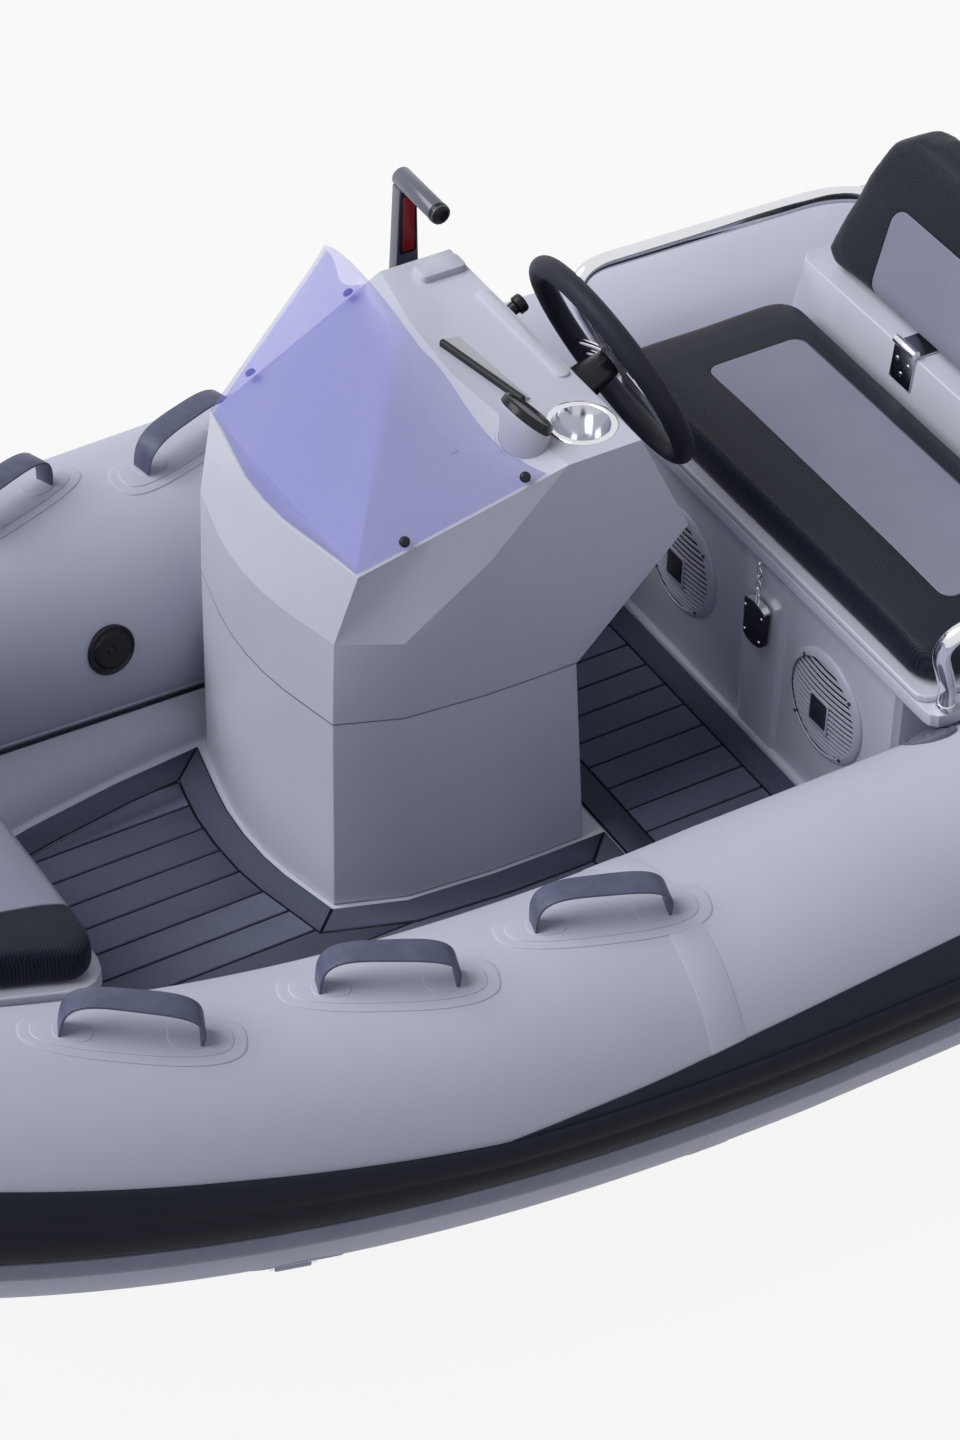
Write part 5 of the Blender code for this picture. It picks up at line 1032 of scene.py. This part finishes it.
def stuffed(name, node, body, finish, rests=True, voxel=0.005):
    """A cushion: its node's shape, drawn in a little and remeshed, swells under cloth pressure. The foam evens
    the swelling out: each point's move becomes the mean of its neighbours' many times. No point moves more than
    a cap, and none of a cushion that rests sinks below its bottom. One subdivision follows."""
    made = show(name, closed(cad_shape(node)), body, finish, "vinyl", node, smooth=180)
    low = min(corner[2] for corner in made.bound_box)

    def places(mesh):
        spots = np.empty(len(mesh.vertices) * 3, np.float32)
        mesh.vertices.foreach_get("co", spots)
        return spots.reshape(-1, 3)

    def settled(piece):
        graph = bpy.context.evaluated_depsgraph_get()
        result = bpy.data.meshes.new_from_object(piece.evaluated_get(graph))
        piece.modifiers.clear()
        piece.data = result
        result.name = name
        return places(result)

    drawn = made.modifiers.new("drawn", "DISPLACE")
    drawn.strength, drawn.mid_level = -CUSHION_SHRINK, 0.0
    grid = made.modifiers.new("grid", "REMESH")
    grid.mode, grid.voxel_size, grid.use_smooth_shade = "VOXEL", voxel, True
    soften = made.modifiers.new("soften", "SMOOTH")
    soften.iterations = 6
    start = settled(made)
    swell = made.modifiers.new("swell", "CLOTH")
    rules = swell.settings
    rules.use_pressure = True
    rules.uniform_pressure_force = CUSHION_PRESSURE
    rules.effector_weights.gravity = 0.0
    rules.quality = 5
    rules.tension_stiffness = rules.compression_stiffness = 30.0
    rules.bending_stiffness = 2.0
    swell.point_cache.frame_start, swell.point_cache.frame_end = 1, CLOTH_FRAMES
    for number in range(1, CLOTH_FRAMES + 1):
        bpy.context.scene.frame_set(number)
    moved = settled(made) - start
    bpy.context.scene.frame_set(1)
    pairs = np.empty(len(made.data.edges) * 2, np.int32)
    made.data.edges.foreach_get("vertices", pairs)
    pairs = pairs.reshape(-1, 2)
    here, beside = np.concatenate([pairs, pairs[:, ::-1]]).T
    friends = np.maximum(np.bincount(here, minlength=len(moved)), 1)
    for _ in range(EVENED_TIMES):
        sums = [np.bincount(here, moved[beside, axis], len(moved)) for axis in range(3)]
        moved = np.stack([total / friends for total in sums], 1)
    far = np.linalg.norm(moved, axis=1, keepdims=True)
    start = start + moved * np.minimum(1.0, CUSHION_CAP / np.maximum(far, 1e-9))
    if rests:
        start[:, 2] = np.maximum(start[:, 2], low)
    made.data.vertices.foreach_set("co", start.ravel())
    finer = made.modifiers.new("finer", "SUBSURF")
    finer.levels = finer.render_levels = 1
    settled(made)
    made.data.shade_smooth()
    if not made.data.materials:
        made.data.materials.append(finish.material)
    return made


bow_vinyl, x, y, z = vinyl("bow_vinyl")
narrowing = 1.18 - (x - 0.6) * 1.56
bow_vinyl.plan(x, y / narrowing, middle=(0.78, 0.0), half=(0.25, 0.138), corner=0.03)
stuffed("bow_seat_cushion", "bow_cushion", "bow_seat_lid", bow_vinyl)

# The bench: a gelcoat moulding bonded to the deck, with a rolled bead along its foot and a shallow pilaster up
# the middle of its front.
BENCH_FRONT, BEAD_HALF, BEAD_RADIUS, PILASTER_Y = -0.549, 0.325, 0.0085, 0.026
from_cad("bench_moulding", "boat", gelcoat, "gelcoat", "bench_base", width=0.0022, segments=3)
bead = [(BENCH_FRONT + 0.001, y, FLOOR_Z + 0.009) for y in np.linspace(-BEAD_HALF, BEAD_HALF, 9)]
show("bench_toe_bead", rod(bead, BEAD_RADIUS, 16), "boat", gelcoat, "gelcoat", smooth=60)
outline = np.array([(-0.050, 0.0), (-0.038, 0.0045), (0.038, 0.0045), (0.050, 0.0), (0.050, -0.0005),
                    (-0.050, -0.0005)])
rows = [np.stack([BENCH_FRONT + outline[:, 1], PILASTER_Y + outline[:, 0] * wide, np.full(6, z)], 1)
        for z, wide in ((FLOOR_Z + 0.012, 1.0), (0.42, 1.08), (0.583, 1.2))]
pilaster = show("bench_pilaster", skin(rows, around=True, ends=True), "boat", gelcoat, "gelcoat", smooth=20)
eased(pilaster, 0.0014, 2, 15)

# The speakers: two white plastic grilles screwed to the bench's front, each with a dark cone behind its louvres
# and a blank plate in its middle.
SPEAKER_Y, SPEAKER_Z, DOME_RADIUS, DOME_RISE = 0.187, 0.441, 0.0895, 0.0135
LOUVRES, LOUVRE_PITCH, LOUVRE_REACH, SCREW_CIRCLE = 8, 0.0089, 0.0785, 0.0795
speaker_white = Finish("speaker_white", (0.44, 0.45, 0.545), 0.38, Specular_IOR_Level=0.4)
speaker_white.drive("Roughness", 0.32 + speaker_white.noise(40.0, 5.0) * 0.14)
dark_label = Finish("blank_plate", (0.022, 0.024, 0.036), 0.3)


def speaker(middle):
    """A grille: a domed rim with its middle open over a dark cone, louvres across it that follow the dome, four
    screws and a blank plate. The dome's height is a cosine of its radius."""
    def dome(radius):
        return DOME_RISE * np.cos(np.minimum(radius / DOME_RADIUS, 1.0) * np.pi / 2) ** 0.6

    out = Matrix.Translation(Vector(middle)) @ Matrix(((0, 0, 1), (1, 0, 0), (0, 1, 0))).to_4x4()
    radii = np.array([0.089, 0.0885, 0.086, 0.082, 0.0775, 0.0765])
    rim = lathe(np.stack([radii, [0.0, 0.0022, 0.0046, 0.0066, 0.0080, 0.0066]], 1)[::-1].tolist()
                + [(0.0765, 0.0)], 96)
    rim_open = bmesh.new()
    rim_open.from_mesh(rim)
    bmesh.ops.delete(rim_open, geom=[face for face in rim_open.faces if len(face.verts) > 4], context="FACES")
    bars = []
    for number in range(-LOUVRES, LOUVRES + 1):
        up = number * LOUVRE_PITCH
        half = math.sqrt(LOUVRE_REACH ** 2 - up ** 2)
        run = np.linspace(-half, half, 25)
        crest = dome(np.hypot(run, up)) - 0.0008
        rows = np.stack([np.stack([run, np.full(25, up + side), crest - drop], 1) for side, drop in
                         ((-0.002, 0.0024), (-0.0018, 0.0), (0.0014, 0.0006), (0.0018, 0.0026))], 1)
        bars.append(skin(rows, around=True, ends=True))
    grille = joined(closed(rim_open), *bars)
    cone = lathe(((0.001, 0.0022), (0.0764, 0.0022), (0.0764, 0.0004), (0.001, 0.0004)), 64)
    plate = slab((0.038, 0.044, 0.0016), 0.003, 0.0005)
    plate.transform(Matrix.Translation((0.0, -0.006, 0.0128)))
    holder = slab((0.044, 0.056, 0.0026), 0.004, 0.0006)
    holder.transform(Matrix.Translation((0.0, -0.009, 0.0104)))
    screws = []
    for degrees in (40, 130, 220, 310):
        turn = math.radians(degrees)
        screw = lathe(((0.0005, 0.0088), (0.0012, 0.0092), (0.0026, 0.0092), (0.0032, 0.0082), (0.0032, 0.005),
                       (0.0005, 0.005)), 16)
        screw.transform(Matrix.Translation((SCREW_CIRCLE * math.cos(turn), SCREW_CIRCLE * math.sin(turn),
                                            -0.0005)))
        screws.append(screw)
    return [(joined(grille, holder), speaker_white, out), (cone, groove_foam, out),
            (joined(plate, *screws), dark_label, out)]


for word, side in SIDES:
    names = (word + "_speaker_grille", word + "_speaker_cone", word + "_speaker_trim")
    for name, (mesh, finish, place) in zip(names, speaker((BENCH_FRONT + 0.0004, SPEAKER_Y * side, SPEAKER_Z))):
        mesh.transform(place)
        show(name, mesh, "boat", finish, "white_plastic", *([word + "_speaker"] if "grille" in name else []),
             smooth=45)

# The key tag: a chain of six bent steel links hangs from the bench's flange before the pilaster. It carries a
# rubber fob with a steel clasp folded over its top and four small studs.
TAG_LINKS, LINK_PITCH, FOB_HALF_WIDE, FOB_HALF_HIGH = 6, 0.0112, 0.025, 0.0375
tag_top = Vector((BENCH_FRONT + 0.014, 0.024, 0.5888))
links = []
for number in range(TAG_LINKS):
    middle = tag_top - Vector((0, 0, 0.0075 + number * LINK_PITCH))
    turn = np.linspace(0, 2 * np.pi, 24, endpoint=False)
    loop = np.stack([0.0042 * np.sign(np.cos(turn)) * np.abs(np.cos(turn)) ** 0.8, np.zeros(24),
                     0.0074 * np.sin(turn)], 1)
    if number % 2:
        loop = loop[:, [1, 0, 2]]
    links.append(rod(loop + np.array(middle), 0.00125, 8, loop=True))
show("tag_links", joined(*links), "tag", steel, "stainless", "tag_chain", smooth=60)
fob_middle = tag_top - Vector((0, 0, 0.0703 + FOB_HALF_HIGH))
across = np.linspace(-1, 1, 15)
outline = [(x * FOB_HALF_WIDE, FOB_HALF_HIGH - 0.006 * x ** 2) for x in across]
outline += [(x * (FOB_HALF_WIDE if abs(x) < 0.99 else 0.0235), -FOB_HALF_HIGH + 0.008 * x ** 2)
            for x in across[::-1]]
rows = []
for inset, out in ((0.0012, -0.0058), (0.0, -0.0046), (0.0, 0.0046), (0.0012, 0.0058)):
    rows.append([(out, y * (1 - inset / FOB_HALF_WIDE), z * (1 - inset / FOB_HALF_HIGH)) for y, z in outline])
fob = skin(rows, around=True, ends=True)
fob.transform(Matrix.Translation(fob_middle))
show("tag_body", fob, "tag", grip, "black_rubber", "tag_fob", smooth=50)
band = [(out * 1.04, x * 0.0252, 0.0355 - 0.006 * x ** 2 + up)
        for out, up in ((-0.0055, 0), (-0.0055, 0.0035), (0.0055, 0.0035), (0.0055, 0)) for x in across]
clasp = skin(np.array(band).reshape(4, 15, 3).transpose(1, 0, 2), around=True, ends=True)
clasp.transform(Matrix.Translation(fob_middle))
studs = []
for y, z in ((-0.0205, 0.021), (0.0205, 0.021), (-0.0185, -0.022), (0.0185, -0.022)):
    stud = lathe(((0.0004, 0.0018), (0.0014, 0.0015), (0.0022, 0.0006), (0.0023, -0.0006),
                  (0.0004, -0.0006)), 16)
    studs.append(placed(stud, fob_middle + Vector((0.0058, y, z)), (1, 0, 0)))
show("tag_trim", joined(clasp, *studs), "tag", steel, "stainless", smooth=45)

# The fuel tank: a red moulded plastic can that stands on the deck inside the bench, with a black screw cap whose
# edge has grip notches.
from_cad("tank", "boat", red, "red_plastic", "fuel_tank", width=0.006, segments=3, angle=40)
cap = lathe(((0.001, 0.022), (0.022, 0.022), (0.025, 0.019), (0.0255, 0.003), (0.029, 0.0), (0.029, -0.002),
             (0.001, -0.002)), 60, 0.05, 12)
cap.transform(Matrix.Translation((-0.7055, 0.12, FLOOR_Z + 0.2003)))
show("tank_cap", cap, "boat", black_plastic, "black_plastic")

# The bench seat: a gelcoat lid hinged at its front edge, and a cushion fixed to it. The cushion is foam in the
# same sewn vinyl as the bow seat's, with one grey inset along its middle.
from_cad("bench_seat_lid", "bench_seat_lid", gelcoat, "gelcoat", "bench_lid", width=0.003, segments=3)
seat_vinyl, x, y, z = vinyl("seat_vinyl")
seat_vinyl.plan(x, y, middle=(-0.7175, 0.015), half=(0.082, 0.3), corner=0.02)
stuffed("bench_seat_cushion", "seat_cushion", "bench_seat_lid", seat_vinyl, voxel=0.0056)

# The coaming and backrest: a gelcoat box behind the seat carries a backrest that folds forward on two polished
# hinges, each held by three countersunk screws.
from_cad("coaming", "boat", gelcoat, "gelcoat", "seat_coaming", width=0.006, segments=4)
back_vinyl, x, y, z = vinyl("backrest_vinyl")
behind = (x + z * 0.2493).ease(-0.7455, -0.7555)
back_vinyl.plan(z, y, middle=(0.815, 0.0), half=(0.078, 0.262), corner=0.03, behind=behind)
stuffed("backrest_pad", "backrest_cushion", "backrest", back_vinyl, rests=False)
for word, side in SIDES:
    from_cad(word + "_leaf", "boat", steel, "stainless", word + "_hinge_leaf", width=0.0007, segments=2)
    from_cad(word + "_strap", "backrest", steel, "stainless", word + "_hinge_strap", width=0.0006, segments=2,
             angle=40)
    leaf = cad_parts[word + "_hinge_leaf"]
    corners = np.array([leaf.matrix_world @ vert.co for vert in leaf.data.vertices])
    middle = Vector(corners.mean(0))
    rise = Vector((-0.0118, 0, 0.1177)).normalized()
    out = Vector((rise.z, 0, -rise.x))
    screws = []
    for y, z in ((-0.013, 0.008), (0.013, 0.008), (0.0, -0.012)):
        screw = lathe(((0.0004, 0.0007), (0.0012, 0.0011), (0.0034, 0.0007), (0.0042, 0.0), (0.0004, 0.0)), 24)
        screws.append(placed(screw, middle + out * 0.00155 + Vector((0, y, 0)) + rise * z, out))
    show(word + "_leaf_screws", joined(*screws), "boat", steel, "stainless")

# The stern rail: one polished tube bent round the stern, welded to two round feet on the bench and two posts on
# the coaming.
RAIL_RADIUS, RAIL_BEND, POST_Y, POST_FOOT = 0.0125, 0.14, 0.25, 0.7283
RAIL_FOOT, FOOT_Y, FOOT_Z, RAIL_FRONT, RAIL_BACK = -0.565, 0.4265, 0.6103, -0.5, -1.055
RAIL_HALF_ROUTE = ((RAIL_FOOT, FOOT_Y, FOOT_Z), (RAIL_FOOT, FOOT_Y, 0.6478), (RAIL_FRONT, 0.47, 0.79),
                   (RAIL_BACK, 0.47, 0.775))


def bent(points, radius, steps=14):
    """A route with its corners rounded: each becomes a curve start (1 - t)^2 + corner 2 t (1 - t) + end t^2,
    with points added along the straights."""
    points = [Vector(point) for point in points]
    route = [points[0]]
    for before, corner, after in zip(points, points[1:], points[2:]):
        back, ahead = before - corner, after - corner
        reach = min(radius, back.length / 2, ahead.length / 2)
        start, end = corner + back.normalized() * reach, corner + ahead.normalized() * reach
        for number in range(steps + 1):
            t = number / steps
            spot = start * (1 - t) ** 2 + corner * 2 * t * (1 - t) + end * t * t
            if (spot - route[-1]).length > 1e-4:
                route.append(spot)
    route.append(points[-1])
    return route


route = list(RAIL_HALF_ROUTE) + [(x, -y, z) for x, y, z in RAIL_HALF_ROUTE[::-1]]
feet = []
for side in (-1, 1):
    foot = lathe(((0.001, 0.011), (0.0128, 0.011), (0.0136, 0.0098), (0.0136, 0.0), (0.001, 0.0)), 48)
    foot.transform(Matrix.Translation((RAIL_FOOT, FOOT_Y * side, FOOT_Z)))
    feet.append(foot)
tube = rod(bent(route, RAIL_BEND), RAIL_RADIUS, 32)
show("rail", joined(tube, *feet), "boat", steel, "stainless", "stern_rail", smooth=50)
for word, side in SIDES:
    post = lathe(((0.001, 0.0352), (0.0098, 0.0352), (0.0098, 0.0105), (0.0112, 0.0085), (0.0185, 0.0068),
                  (0.0222, 0.0045), (0.0225, 0.0), (0.001, 0.0)), 48)
    collar_ring = lathe(((0.001, 0.0345), (0.0128, 0.0345), (0.0128, 0.0292), (0.001, 0.0292)), 48)
    post = joined(post, collar_ring)
    post.transform(Matrix.Translation((RAIL_BACK, POST_Y * side, POST_FOOT)))
    show(word + "_post", post, "boat", steel, "stainless", word + "_rail_post", smooth=40)
